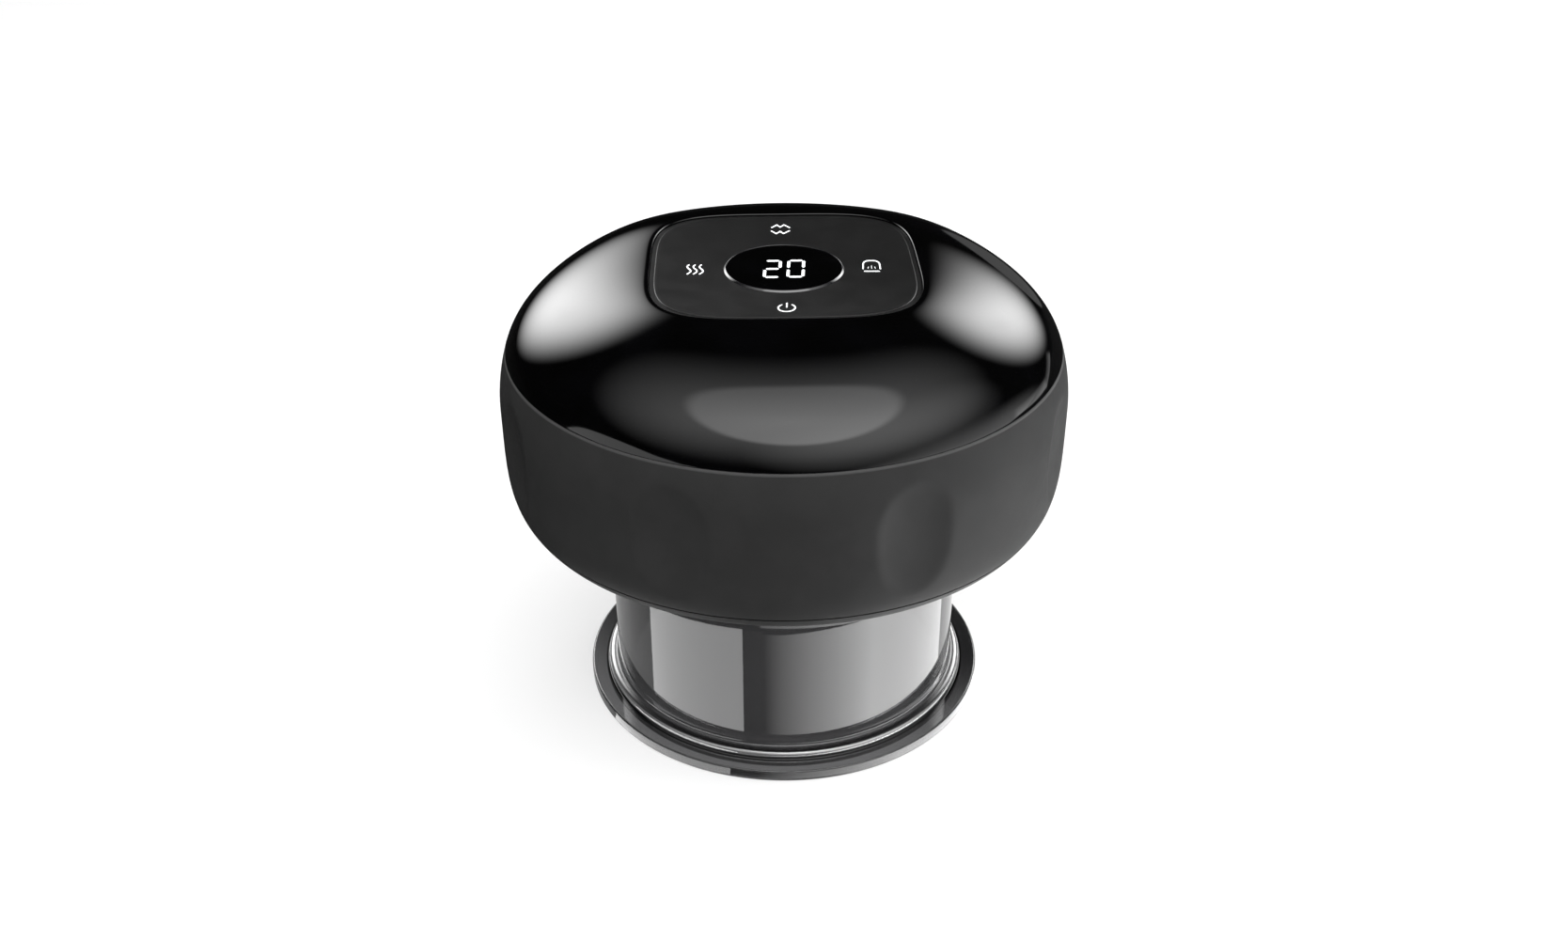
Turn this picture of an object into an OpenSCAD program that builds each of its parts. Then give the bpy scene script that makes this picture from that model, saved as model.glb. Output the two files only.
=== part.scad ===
// Rechargeable cupping massager: a mushroom head with pump, heater and battery on a clear smoked cup.
// Millimetres, +Z up, front towards -Y, origin at the centre of the cup's rim face.

/* [Head] */
// Largest diameter of the head
head_d = 100; // [99:0.5:103]
// Height of the head's widest ring above the cup's rim
waist_z = 59.5; // [59:0.1:60]
// Height of the seam between the gloss cover and the matte housing
seam_z = 69.2; // [69:0.1:70]
// Diameter of the head at that seam
seam_d = 96.8; // [96.4:0.1:97.6]
// Height of the gloss cover's flat top, the overall height
top_z = 83; // [82.8:0.1:84]
// Height of the head's underside
base_z = 38.6; // [38.2:0.1:38.8]
// Squareness of the housing's lower curve
belly_power = 4.5; // [4:0.1:5]
// Wall thickness of the mouldings
wall = 2; // [1.8:0.1:2.2]

/* [Touch panel] */
// Width of the touch panel across its flats
panel_w = 46; // [44:0.5:47]
// Squareness of the panel's outline
panel_power = 4; // [3:0.1:5]
// Depth of the hollow in the panel's face
panel_dish = 1.2; // [0.8:0.1:1.3]
// Flat margin of the gloss cover around the panel
panel_margin = 1.7; // [1.2:0.1:2]
// Outer diameter of the display's raised ring
display_d = 20.8; // [20:0.1:22]

/* [Finger dimples] */
// Number of dimples around the housing
dimple_n = 8; // [4:1:10]
// Width of a dimple
dimple_w = 13; // [10:0.5:15]
// Height of a dimple
dimple_h = 18.5; // [14:0.5:19]
// Depth of a dimple at its middle
dimple_depth = 1.1; // [0.9:0.1:1.3]

/* [Cup] */
// Outer diameter of the cup's tube
cup_d = 64.4; // [63.8:0.1:64.8]
// Wall thickness of the tube
cup_wall = 2.5; // [2.2:0.1:2.6]
// Diameter of the foot flange
flange_d = 75; // [73:0.5:76]
// Thickness of the foot flange
flange_t = 2.2; // [2:0.1:2.6]
// Depth of the cup's seat inside the head
cup_seat = 6.4; // [6:0.1:6.8]

/* [Drive] */
// Diameter of the pump motor
motor_d = 24; // [22:0.5:24.4]
// Length of the pump motor
motor_l = 31; // [28:0.5:32]
// Diameter of the pump's head
pump_d = 25; // [24.5:0.5:25.5]
// Diameter of the battery cell
cell_d = 18.4; // [18:0.1:18.6]
// Length of the battery cell
cell_l = 65; // [64:0.5:65.5]
// Travel of the release valve's plunger
valve_travel = 1; // [0.5:0.1:1.2]

/* [Hidden] */
$fn = 96;
eps = 0.01;
gap = 0.3;
head_r = head_d / 2;
seam_r = seam_d / 2;
cup_r = cup_d / 2;
cup_bore_r = cup_r - cup_wall;
flange_r = flange_d / 2;

// Head: outline of the matte housing and the slot that takes the cup
slot_out_r = cup_r + gap;
slot_in_r = cup_bore_r - gap;
belly_r = slot_out_r + 0.5;
slot_top_z = base_z + cup_seat;
deck_t = 2;
deck_z = slot_top_z + deck_t;
deck_r = slot_out_r + 2.2;
part_u = 0.635;
base_u = 0.655;
rebate_r = head_r - 3.6;
ledge_z = base_z + 3.4;
ledge_t = 2;
ledge_in_r = deck_r + 3.8;
curve_n = 28;
arc_n = 8;
rim_r = seam_r - 1.95;
rim_h = 2.4;

// Gloss cover: lip, roof and the recess of the touch panel
ring_n = 72;
dome_n = 11;
roof_n = 6;
dome_pull = 0.03;
dome_rise = 0.885;
lip_r = rim_r - 0.15;
lip_t = 1.7;
lip_h = 3.4;
bead = 0.45;
panel_half = panel_w / 2;
panel_gap = 0.12;
panel_z = top_z - 0.2;
shelf_z = top_z - 2.8;
shelf_t = 1.7;
shelf_w = 2;

// Display: raised ring, lens and the boards below the panel
ring_r = display_d / 2;
ring_in_r = ring_r - 0.8;
ring_hole_r = ring_r - 0.35;
ring_z = panel_z - panel_dish + 0.26;
lens_r = ring_in_r - 0.05;
lens_z = shelf_z + 0.4;
touch_board_t = 1.2;
touch_board_z = shelf_z - 3.8;
touch_board_half = 20;
key_x = 15;
key_y = 16.4;
key_r = 3.6;

// Treatment side: neck, seal and the plate with heater and lamps inside the cup
neck_in_r = slot_in_r - 4.4;
window_r = neck_in_r + 1;
window_t = 1.2;
window_z = base_z + 0.2;
groove_r = slot_in_r - 1.5;
groove_z = base_z + 2.9;
groove_h = 2;
seal_r = (cup_bore_r - 0.05 - groove_r - eps) / 2;
plate_r = 16;
plate_t = 1.4;
film_t = 0.4;
port_r = 2.6;
bore_r = 1.1;
nipple_r = 2.4;
barb_r = 1.9;
nipple_top = deck_z + 7;
lamp_n = 8;
lamp_ring_r = 20.6;

// Chassis: one moulding on the deck that carries pump, valve, battery and board
chassis_t = 1.2;
chassis_z = deck_z + chassis_t;
chassis_r = 43;
chassis_w = 74;
pump_y = -19;
pump_z = chassis_z + gap + pump_d / 2;
motor_r = motor_d / 2;
pump_r = pump_d / 2;
cell_r = cell_d / 2;
cell_y = 20;
cell_z = chassis_z + 0.1 + cell_r;
tee_z = deck_z + 15;
valve_x = 13;
valve_r = 5.2;
valve_depth = 14.8;
plunger_z = 3.2;
plunger_top = valve_depth - valve_travel - 2.2;
post_x = 24;
post_y = [8.6, 31.4];
board_z = cell_z + cell_r + 1.5;
board_t = 1.2;
board_size = [52, 27];
screw_r = 0.8;
screw_head_r = 1.9;
screw_head_h = 1.2;
deck_screw_r = deck_r - 1.1;
ledge_screw_r = ledge_in_r + 3.4;

// Charging inlet in the back wall
usb_size = [8.94, 7.3, 3.26];
usb_z = 53.2;
usb_y = head_r - 0.6 - usb_size[1];
charge_board_size = [20, 13, 1.2];
charge_post_x = 7.5;
charge_post_y = 41;

// Pump stack along the motor's axis, measured from the motor's front face
pump_case_l = 14;
pump_bore_r = 9.4;
pump_back_t = 1.8;
boss_r = 3.5;
boss_l = 1.5;
skin_t = 1;
valve_plate_t = 2.5;
cover_l = 5.5;
nozzle_l = 7;
nozzle_r = 2;
nozzle_y = 5;
pump_bolt_r = 10.95;
chamber_ring_r = 6;
shaft_r = 1;
crank_offset = 2;
crank_pin_r = 0.75;

// Routes of the hose and the motor's leads
hose_r = 3;
lead_r = 0.6;
lead_plug = [17, 11, 6, 4, 0.5];
lead_plug_z = board_z + board_t + lead_plug[4];
pump_hose_route = [
    [-25, -14, pump_z], [-31, -14, pump_z], [-36, -13, pump_z], [-39.5, -9.5, tee_z], [-39.5, -4.5, tee_z],
    [-36, -1, tee_z], [-31, 0, tee_z], [-18, 0, tee_z], [-4, 0, tee_z]
];
// Lead from one motor terminal, s = -1 or 1, over to the plug on the main board
function motor_lead_route(s) = [
    [33, pump_y + 5 * s, pump_z + 7], [34, pump_y + 5 * s, pump_z + 7], [35, pump_y + 5 * s, pump_z + 7],
    [36 + s, -12 + 2 * s, pump_z + 9], [33 + s, -7, pump_z + 11], [27 + s, 0, pump_z + 12],
    [20 + s, 7, pump_z + 12], [lead_plug[0] + s, lead_plug[1], lead_plug_z + 2],
    [lead_plug[0] + s, lead_plug[1], lead_plug_z + 1], [lead_plug[0] + s, lead_plug[1], lead_plug_z]
];

// Curves of the head's outline

// Radius of the housing between its widest ring and the seam
function shoulder_r(z) = head_r - (head_r - seam_r) * pow((z - waist_z) / (seam_z - waist_z), 2);

// Point of the lower curve, from the widest ring at u = 0 to the cup's slot at u = 1
function belly_point(u) =
    let (a = 90 * u * u)
    [
        belly_r + (head_r - belly_r) * pow(max(0, cos(a)), 2 / belly_power),
        waist_z - (waist_z - base_z) * pow(sin(a), 2 / belly_power)
    ];

// Points of a round stretch of a section about centre c
function arc(c, r, from, to) = [
    for (i = [0 : arc_n])
        let (a = from + (to - from) * i / arc_n)
        c + r * [cos(a), sin(a)]
];

// Radius of a rounded square of the given half width at angle a
function squircle_r(half, a) =
    half / pow(pow(abs(cos(a)), panel_power) + pow(abs(sin(a)), panel_power), 1 / panel_power);

// Closed ring of points: a rounded square of half width s[0], grown by s[1], at height s[2]
function ring(s) = [
    for (i = [0 : ring_n - 1])
        let (a = 360 * i / ring_n, r = squircle_r(s[0], a) + s[1])
        [r * cos(a), r * sin(a), s[2]]
];

// Ring of the dome at t, from a rounded square edge at t = 0 to a round seam at t = 1
function dome_station(t, half, edge_z, foot_r, foot_z) =
    let (
        b0 = pow(1 - t, 3),
        b1 = 3 * t * pow(1 - t, 2),
        b2 = 3 * t * t * (1 - t),
        b3 = t * t * t,
        slope = -2 * (head_r - seam_r) / (seam_z - waist_z),
        z2 = foot_z + dome_rise * (edge_z - foot_z),
        r2 = foot_r + slope * (z2 - foot_z)
    )
    [
        half * (b0 + b1 * (1 - dome_pull)),
        foot_r * (b1 * dome_pull + b3) + r2 * b2,
        edge_z * (b0 + b1) + z2 * b2 + foot_z * b3
    ];

// Sweeps along a route

function unit(v) = v / norm(v);

// Smooth curve through the points of a route, with steps points for each stretch
function smooth_route(route, steps) =
    let (last = len(route) - 1)
    [
        for (k = [0 : last - 1], j = [0 : steps - 1])
            let (
                t = j / steps,
                p0 = route[max(0, k - 1)],
                p1 = route[k],
                p2 = route[k + 1],
                p3 = route[min(last, k + 2)]
            )
            p1 + t * (p2 - p0) / 2 + t * t * (2 * p0 - 5 * p1 + 4 * p2 - p3) / 2
                + t * t * t * (3 * p1 - p0 - 3 * p2 + p3) / 2,
        route[last]
    ];

// Rings of radius r around a path, square to it, turned so that none is twisted against side
function sweep_rings(path, r, sides, side) =
    let (last = len(path) - 1)
    [
        for (k = [0 : last])
            let (
                along = unit(path[min(last, k + 1)] - path[max(0, k - 1)]),
                across = unit(cross(along, side)),
                up = cross(across, along)
            )
            [
                for (j = [0 : sides - 1])
                    let (a = 360 * j / sides)
                    path[k] + r * (cos(a) * across + sin(a) * up)
            ]
    ];

function reversed(list) = [for (k = [len(list) - 1 : -1 : 0]) list[k]];

// Triangles between ring s and the next of m rings with n points each
function ring_faces(s, n, m) = [
    for (i = [0 : n - 1])
        let (j = (i + 1) % n, a = s * n, b = ((s + 1) % m) * n)
        each [[a + i, a + j, b + j], [a + i, b + j, b + i]]
];

// Solid whose rings follow each other round and back to the first
module ring_loft(rings) {
    n = len(rings[0]);
    m = len(rings);
    polyhedron([for (r = rings) each r], [for (s = [0 : m - 1]) each ring_faces(s, n, m)]);
}

// Solid tube of rings with its two ends closed
module capped_loft(rings) {
    n = len(rings[0]);
    m = len(rings);
    polyhedron(
        [for (r = rings) each r],
        [
            for (s = [0 : m - 2]) each ring_faces(s, n, m),
            [for (i = [n - 1 : -1 : 0]) i],
            [for (i = [0 : n - 1]) (m - 1) * n + i]
        ]
    );
}

// Shared shapes

// Flat ring or disc from z to z + h
module washer(r, hole_r, z, h) {
    translate([0, 0, z])
        difference() {
            cylinder(r = r, h = h);
            translate([0, 0, -1])
                cylinder(r = hole_r, h = h + 2);
        }
}

// Pan-head screw whose head sits on z = 0 with its shank downwards
module screw(length) {
    cylinder(r = screw_head_r, h = screw_head_h);
    translate([0, 0, -length])
        cylinder(r = screw_r, h = length + eps);
}

// Copies on a circle, the first at angle start
module around(n, r, start) {
    for (i = [0 : n - 1])
        rotate([0, 0, start + 360 * i / n])
            translate([r, 0, 0])
                children();
}

module at_board_posts() {
    for (x = [-post_x, post_x], y = post_y)
        translate([x, y, 0])
            children();
}

module at_deck_screws() {
    around(4, deck_screw_r, 0)
        children();
}

// Places local +Z along world +X on the pump's axis
module on_pump_axis() {
    translate([0, pump_y, pump_z])
        rotate([0, 90, 0])
            children();
}

// Places local +Z along world +X on the valve's axis
module on_valve_axis() {
    translate([valve_x, 0, tee_z])
        rotate([0, 90, 0])
            children();
}

module pump_bolts(r, z, h) {
    around(3, pump_bolt_r, 60)
        translate([0, 0, z])
            cylinder(r = r, h = h);
}

// Cup

// Smoked cup: tube, concave fillet, bead and flange outside, flared mouth inside
module suction_cup() {
    fillet = 0.7;
    bead_r = 1.1;
    bead_x = cup_r + 0.8;
    bead_z = flange_t + 0.4;
    bead_top = bead_z + bead_r;
    mouth_r = 3;
    edge = 0.4;
    color("#2b2c2e", 0.8)
        rotate_extrude()
            polygon([
                [cup_bore_r + edge, slot_top_z],
                [cup_bore_r, slot_top_z - edge],
                each arc([cup_bore_r + mouth_r, mouth_r], mouth_r, 180, 270),
                [flange_r - edge, 0],
                [flange_r, edge],
                [flange_r, flange_t - edge],
                [flange_r - edge, flange_t],
                [bead_x + bead_r, flange_t],
                each arc([bead_x, bead_z], bead_r, 0, 90),
                each arc([cup_r + fillet, bead_top + fillet], fillet, 270, 180),
                [cup_r, slot_top_z - edge],
                [cup_r - edge, slot_top_z]
            ]);
}

// Head shells

// Barrel that presses one finger dimple, with its deepest point at radius head_r - dimple_depth
module dimple_barrel() {
    half_w = dimple_w / 2;
    half_h = dimple_h / 2;
    sag_w = dimple_depth - half_w * half_w / (2 * head_r);
    sag_h = dimple_depth / 2;
    barrel_r = (half_w * half_w + sag_w * sag_w) / (2 * sag_w);
    arc_r = (half_h * half_h + sag_h * sag_h) / (2 * sag_h);
    translate([head_r - dimple_depth + barrel_r, 0, waist_z - 3.2])
        rotate_extrude()
            intersection() {
                translate([barrel_r - arc_r, 0])
                    circle(r = arc_r);
                translate([0, -half_h - 2])
                    square([barrel_r + 1, dimple_h + 4]);
            }
}

// Slot with round ends for the charging plug, cut from the back
module usb_slot(grow) {
    h = usb_size[2] + 2 * grow;
    w = usb_size[0] + 2 * grow;
    translate([0, usb_y, usb_z + usb_size[2] / 2])
        rotate([-90, 0, 0])
            linear_extrude(usb_size[1] + 4)
                union() {
                    square([w - h, h], center = true);
                    for (x = [-1, 1])
                        translate([x * (w - h) / 2, 0])
                            circle(d = h);
                }
}

// Matte housing: dimpled grip band, snap rim on top and a screw ledge that drops into the base cover
module lower_housing() {
    shoulder_n = 8;
    wall_u = 0.68;
    color("#343536")
        difference() {
            union() {
                rotate_extrude()
                    polygon([
                        for (i = [0 : shoulder_n - 1])
                            let (z = seam_z + (waist_z - seam_z) * i / shoulder_n)
                            [shoulder_r(z), z],
                        for (i = [0 : curve_n]) belly_point(part_u * i / curve_n),
                        [rebate_r, belly_point(part_u)[1]],
                        [rebate_r, ledge_z],
                        [ledge_in_r, ledge_z],
                        [ledge_in_r, ledge_z + ledge_t],
                        for (i = [curve_n : -2 : 0])
                            let (p = belly_point(wall_u * i / curve_n))
                            [p[0] - wall, max(p[1], ledge_z + ledge_t)],
                        [shoulder_r(seam_z - rim_h - 0.6) - wall, seam_z - rim_h - 0.6],
                        [rim_r, seam_z - rim_h],
                        [rim_r, seam_z]
                    ]);
                for (x = [-charge_post_x, charge_post_x])
                    translate([x, charge_post_y, ledge_z + ledge_t - eps])
                        cylinder(r = 1.8, h = usb_z - charge_board_size[2] - ledge_z - ledge_t + eps);
            }
            around(dimple_n, 0, 180 / dimple_n)
                dimple_barrel();
            around(4, ledge_screw_r, 45)
                translate([0, 0, ledge_z - 1])
                    cylinder(r = screw_r + 0.3, h = ledge_t + 2);
            usb_slot(0.33);
        }
}

// Gloss cover: loft from the panel's rounded square to the round seam, with a snap lip inside
module top_cover() {
    outer_half = panel_half + panel_margin;
    recess_half = panel_half + panel_gap;
    shelf_half = panel_half - shelf_w;
    inner_r = lip_r - lip_t;
    lip_z = seam_z - rim_h;
    stations = [
        for (i = [0 : dome_n]) dome_station(i / dome_n, outer_half, top_z, seam_r, seam_z),
        [0, lip_r, seam_z],
        [0, lip_r, lip_z],
        [0, lip_r + bead, lip_z - 0.35],
        [0, lip_r, seam_z - lip_h + 0.3],
        [0, lip_r - 0.3, seam_z - lip_h],
        [0, inner_r, seam_z - lip_h],
        for (i = [roof_n : -1 : 0]) dome_station(i / roof_n, shelf_half, shelf_z - shelf_t, inner_r, seam_z),
        [shelf_half, 0, shelf_z],
        [recess_half, 0, shelf_z],
        [recess_half, 0, top_z - 0.25],
        [recess_half + 0.25, 0, top_z]
    ];
    color("#0c0c0d")
        ring_loft([for (s = stations) ring(s)]);
}

// Touch panel: dished plate with a rounded square outline and the display's round hole
module touch_panel() {
    dish_n = 5;
    edge = 0.25;
    stations = [
        for (i = [0 : dish_n])
            let (u = i / dish_n, hole = ring_hole_r + 0.1)
            [
                (panel_half - edge) * u,
                hole * (1 - u),
                panel_z - panel_dish * (1 - pow(u + (1 - u) * hole / panel_half, 2))
            ],
        [panel_half, 0, panel_z - edge],
        [panel_half, 0, shelf_z],
        [0, ring_hole_r + 0.1, shelf_z]
    ];
    color("#2c2d2e")
        ring_loft([for (s = stations) ring(s)]);
}

// Thin bright ring that stands proud of the panel around the display
module display_ring() {
    color("#c9cacc")
        rotate_extrude()
            polygon([
                [ring_in_r, ring_z + 0.25], [ring_in_r, lens_z], [ring_in_r - 0.7, lens_z],
                [ring_in_r - 0.7, shelf_z], [ring_hole_r, shelf_z], [ring_hole_r, ring_z],
                [ring_r, ring_z], [ring_r - 0.15, ring_z + 0.25]
            ]);
}

module display_lens() {
    color("#050505")
        translate([0, 0, lens_z])
            cylinder(r = lens_r, h = ring_z + 0.05 - lens_z);
}

// Two-digit number module below the lens
module display_module() {
    color("#1a1a1a")
        difference() {
            translate([0, 0, touch_board_z + touch_board_t])
                cylinder(r = ring_in_r - 0.7, h = shelf_z - touch_board_z - touch_board_t);
            for (x = [-1, 1])
                translate([x * 2.2 - 1.75, -4.2, shelf_z - 0.4])
                    cube([3.5, 8.4, 1]);
        }
}

module touch_board() {
    corner = 6;
    inset = touch_board_half - corner;
    color("#1f4f36")
        translate([0, 0, touch_board_z])
            linear_extrude(touch_board_t)
                union() {
                    square([2 * touch_board_half, 2 * inset], center = true);
                    square([2 * inset, 2 * touch_board_half], center = true);
                    for (x = [-1, 1], y = [-1, 1])
                        translate([x * inset, y * inset])
                            circle(r = corner);
                }
}

// Conductive foam pads that carry each touch key up to the panel
module touch_keys() {
    color("#3c3c3c")
        for (p = [[key_x, 0], [-key_x, 0], [0, key_y], [0, -key_y]])
            translate([p[0], p[1], touch_board_z + touch_board_t])
                cylinder(r = key_r, h = shelf_z - touch_board_z - touch_board_t);
}

// Flat cable with its two connectors, bent once between the boards
module touch_cable() {
    cable_w = 9;
    plug = [11, 3, 1.2];
    low_z = board_z + board_t;
    mid_z = (low_z + touch_board_z) / 2;
    bend_r = (touch_board_z - low_z) / 2 - plug[2] / 2;
    plug_y = 12;
    color("#b9b4a4") {
        for (z = [low_z, touch_board_z - plug[2]])
            translate([-plug[0] / 2, plug_y - plug[1], z])
                cube(plug);
        translate([-cable_w / 2, plug_y, mid_z])
            rotate([90, 0, 90])
                intersection() {
                    difference() {
                        cylinder(r = bend_r + 0.15, h = cable_w);
                        translate([0, 0, -1])
                            cylinder(r = bend_r - 0.15, h = cable_w + 2);
                    }
                    translate([0, -2 * bend_r, -1])
                        cube([2 * bend_r, 4 * bend_r, cable_w + 2]);
                }
    }
}

// Treatment side of the head

// Underside cover with the slot for the cup, the sealed neck and the deck above the chamber
module base_cover() {
    edge_n = 18;
    rebate_in_r = rebate_r + 0.15;
    color("#303132")
        difference() {
            rotate_extrude()
                polygon([
                    [port_r, slot_top_z], [neck_in_r, slot_top_z], [neck_in_r, window_z + window_t],
                    [window_r, window_z + window_t], [window_r, base_z], [slot_in_r, base_z],
                    [slot_in_r, groove_z - groove_h / 2], [groove_r, groove_z - groove_h / 2],
                    [groove_r, groove_z + groove_h / 2], [slot_in_r, groove_z + groove_h / 2],
                    [slot_in_r, slot_top_z], [slot_out_r, slot_top_z], [slot_out_r, base_z],
                    for (i = [edge_n : -1 : 0]) belly_point(base_u + (1 - base_u) * i / edge_n),
                    [rebate_in_r, belly_point(base_u)[1]], [rebate_in_r, ledge_z],
                    [deck_r, ledge_z], [deck_r, deck_z], [port_r, deck_z]
                ]);
            around(4, ledge_screw_r, 45)
                translate([0, 0, ledge_z - 1.8])
                    cylinder(r = screw_r + 0.05, h = 3);
            at_deck_screws()
                translate([0, 0, deck_z - 6])
                    cylinder(r = screw_r + 0.05, h = 7);
        }
}

module seal_ring() {
    color("#8d2f2a")
        translate([0, 0, groove_z])
            rotate_extrude()
                translate([groove_r + eps + seal_r, 0])
                    circle(r = seal_r);
}

module heater_plate() {
    color("#c4c6c9")
        washer(plate_r, port_r, base_z, plate_t);
}

module heater_film() {
    color("#b5792c")
        washer(plate_r - 0.4, port_r + 0.1, base_z + plate_t, film_t);
}

module insulation_pad() {
    z = base_z + plate_t + film_t;
    color("#d9d4c4")
        washer(plate_r - 0.4, port_r - 0.1, z, slot_top_z - z);
}

module lamp_board() {
    color("#e8e8e4")
        washer(neck_in_r - 0.3, plate_r + 0.6, slot_top_z - 1, 1);
}

// Red lamps that face down through the window
module lamps() {
    size = [3.5, 2.8, 1.6];
    color("#d8362a")
        around(lamp_n, lamp_ring_r, 0)
            translate([-size[0] / 2, -size[1] / 2, slot_top_z - 1 - size[2]])
                cube(size);
}

module lamp_window() {
    color("#7a1c18", 0.7)
        washer(window_r - 0.1, plate_r + 0.2, window_z, window_t);
}

// Suction port through the deck, with a barb for the hose
module suction_nipple() {
    low = base_z + plate_t + film_t - 0.2;
    collar_r = 4.5;
    barb_z = nipple_top - 1.6;
    color("#4a4b4d")
        rotate_extrude()
            polygon([
                [bore_r, low], [nipple_r, low], [nipple_r, deck_z], [collar_r, deck_z],
                [collar_r, chassis_z], [barb_r, chassis_z], [barb_r, barb_z], [barb_r + 0.05, barb_z],
                [barb_r - 0.4, nipple_top], [bore_r, nipple_top]
            ]);
}

// Sintered disc that keeps oil and hair out of the pump
module suction_filter() {
    color("#a7a8a4")
        translate([0, 0, base_z + 0.2])
            cylinder(r = port_r - 0.02, h = plate_t - 0.4);
}

module base_screws() {
    color("#8c8d90")
        around(4, ledge_screw_r, 45)
            translate([0, 0, ledge_z + ledge_t])
                screw(ledge_t + 1.6);
}

// Inner works

// Chassis moulding: plate, pump saddles, valve saddle, battery cradle and board posts
module chassis() {
    saddle_top = chassis_z + 6;
    saddle_x = [-11, 18];
    saddle = [5, 18];
    valve_block = [6, 8];
    cradle_x = 20;
    cradle = [4, 15];
    stop = [1.4, 12, 13];
    color("#55585c")
        difference() {
            union() {
                translate([0, 0, deck_z])
                    intersection() {
                        cylinder(r = chassis_r, h = chassis_t);
                        translate([-chassis_w / 2, -chassis_w / 2, 0])
                            cube([chassis_w, chassis_w, chassis_t]);
                    }
                for (x = saddle_x)
                    translate([x - saddle[0] / 2, pump_y - saddle[1] / 2, deck_z])
                        cube([saddle[0], saddle[1], saddle_top - deck_z]);
                translate([valve_x + 5, -valve_block[1] / 2, deck_z])
                    cube([valve_block[0], valve_block[1], tee_z - 2 - deck_z]);
                for (x = [-cradle_x, cradle_x])
                    translate([x - cradle[0] / 2, cell_y - cradle[1] / 2, deck_z])
                        cube([cradle[0], cradle[1], saddle_top - deck_z]);
                for (s = [-1, 1])
                    translate([s * (cell_l / 2 + 1.2) - stop[0] / 2, cell_y - stop[1] / 2, deck_z])
                        cube(stop);
                at_board_posts()
                    translate([0, 0, deck_z])
                        cylinder(r = 1.7, h = board_z - deck_z);
            }
            translate([0, 0, deck_z - 1])
                cylinder(r = 5, h = 4);
            translate([-15, pump_y, pump_z])
                rotate([0, 90, 0])
                    cylinder(r = pump_r + 0.05, h = 15);
            translate([0, pump_y, pump_z])
                rotate([0, 90, 0])
                    cylinder(r = motor_r + 0.05, h = motor_l);
            on_valve_axis()
                cylinder(r = valve_r + 0.05, h = 20);
            translate([-cell_l / 2, cell_y, cell_z])
                rotate([0, 90, 0])
                    cylinder(r = cell_r + 0.05, h = cell_l);
            at_board_posts()
                translate([0, 0, board_z - 6])
                    cylinder(r = screw_r + 0.05, h = 7);
            at_deck_screws()
                translate([0, 0, deck_z - 1])
                    cylinder(r = screw_r + 0.3, h = 4);
        }
}

module chassis_screws() {
    color("#8c8d90")
        at_deck_screws()
            translate([0, 0, chassis_z])
                screw(6);
}

module battery_cell() {
    shoulder = 0.6;
    color("#2f6fa8")
        translate([-cell_l / 2, cell_y, cell_z])
            rotate([0, 90, 0])
                union() {
                    translate([0, 0, shoulder])
                        cylinder(r = cell_r, h = cell_l - 2 * shoulder);
                    cylinder(r = cell_r - 3, h = cell_l);
                }
}

// Nickel strips from the cell's two ends to the underside of the main board
module battery_tabs() {
    strip_t = 0.2;
    strip_w = 6;
    reach = 10;
    color("#c9c7bd")
        for (s = [0, 1])
            mirror([s, 0, 0])
                translate([0, cell_y - strip_w / 2, 0]) {
                    translate([cell_l / 2, 0, cell_z - 4])
                        cube([strip_t, strip_w, board_z - cell_z + 4]);
                    translate([cell_l / 2 - reach, 0, board_z - strip_t])
                        cube([reach + strip_t, strip_w, strip_t]);
                }
}

// Control board with its chips and coil
module main_board() {
    top = board_z + board_t;
    mid_y = (post_y[0] + post_y[1]) / 2;
    chips = [[-14, 24, 7, 7, 1], [10, 26, 5, 6, 1.4], [-16, 14, 4, 9, 1.2], [14, 18, 8, 5, 2], lead_plug];
    color("#20573a")
        difference() {
            union() {
                translate([-board_size[0] / 2, mid_y - board_size[1] / 2, board_z])
                    cube([board_size[0], board_size[1], board_t]);
                for (c = chips)
                    translate([c[0] - c[2] / 2, c[1] - c[3] / 2, top - eps])
                        cube([c[2], c[3], c[4] + eps]);
                translate([0, 26, top - eps])
                    cylinder(r = 3, h = 2.4);
            }
            at_board_posts()
                translate([0, 0, board_z - 1])
                    cylinder(r = screw_r + 0.3, h = 4);
        }
}

module board_screws() {
    color("#8c8d90")
        at_board_posts()
            translate([0, 0, board_z + board_t])
                screw(6);
}

module charge_board() {
    color("#20573a")
        translate([-charge_board_size[0] / 2, 32.5, usb_z - charge_board_size[2]])
            cube(charge_board_size);
}

// Charging socket: drawn shell with a tongue inside
module usb_socket() {
    shell = 0.3;
    mid_z = usb_z + usb_size[2] / 2;
    color("#bfc1c4")
        difference() {
            intersection() {
                usb_slot(0);
                translate([-10, usb_y, usb_z - 1])
                    cube([20, usb_size[1], 6]);
            }
            difference() {
                translate([0, 1.2, 0])
                    usb_slot(-shell);
                translate([-3.3, usb_y, mid_z - 0.35])
                    cube([6.6, usb_size[1] - 0.9, 0.7]);
            }
        }
}

// Pump motor

// Drawn steel can with its front face and bearing boss
module motor_can() {
    wall_t = 1;
    color("#9fa2a6")
        on_pump_axis()
            difference() {
                union() {
                    cylinder(r = motor_r, h = motor_l - 2);
                    translate([0, 0, -boss_l])
                        cylinder(r = boss_r, h = boss_l + eps);
                }
                translate([0, 0, 1.2])
                    cylinder(r = motor_r - wall_t, h = motor_l);
                translate([0, 0, -boss_l - 1])
                    cylinder(r = shaft_r + 0.05, h = 5);
            }
}

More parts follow.
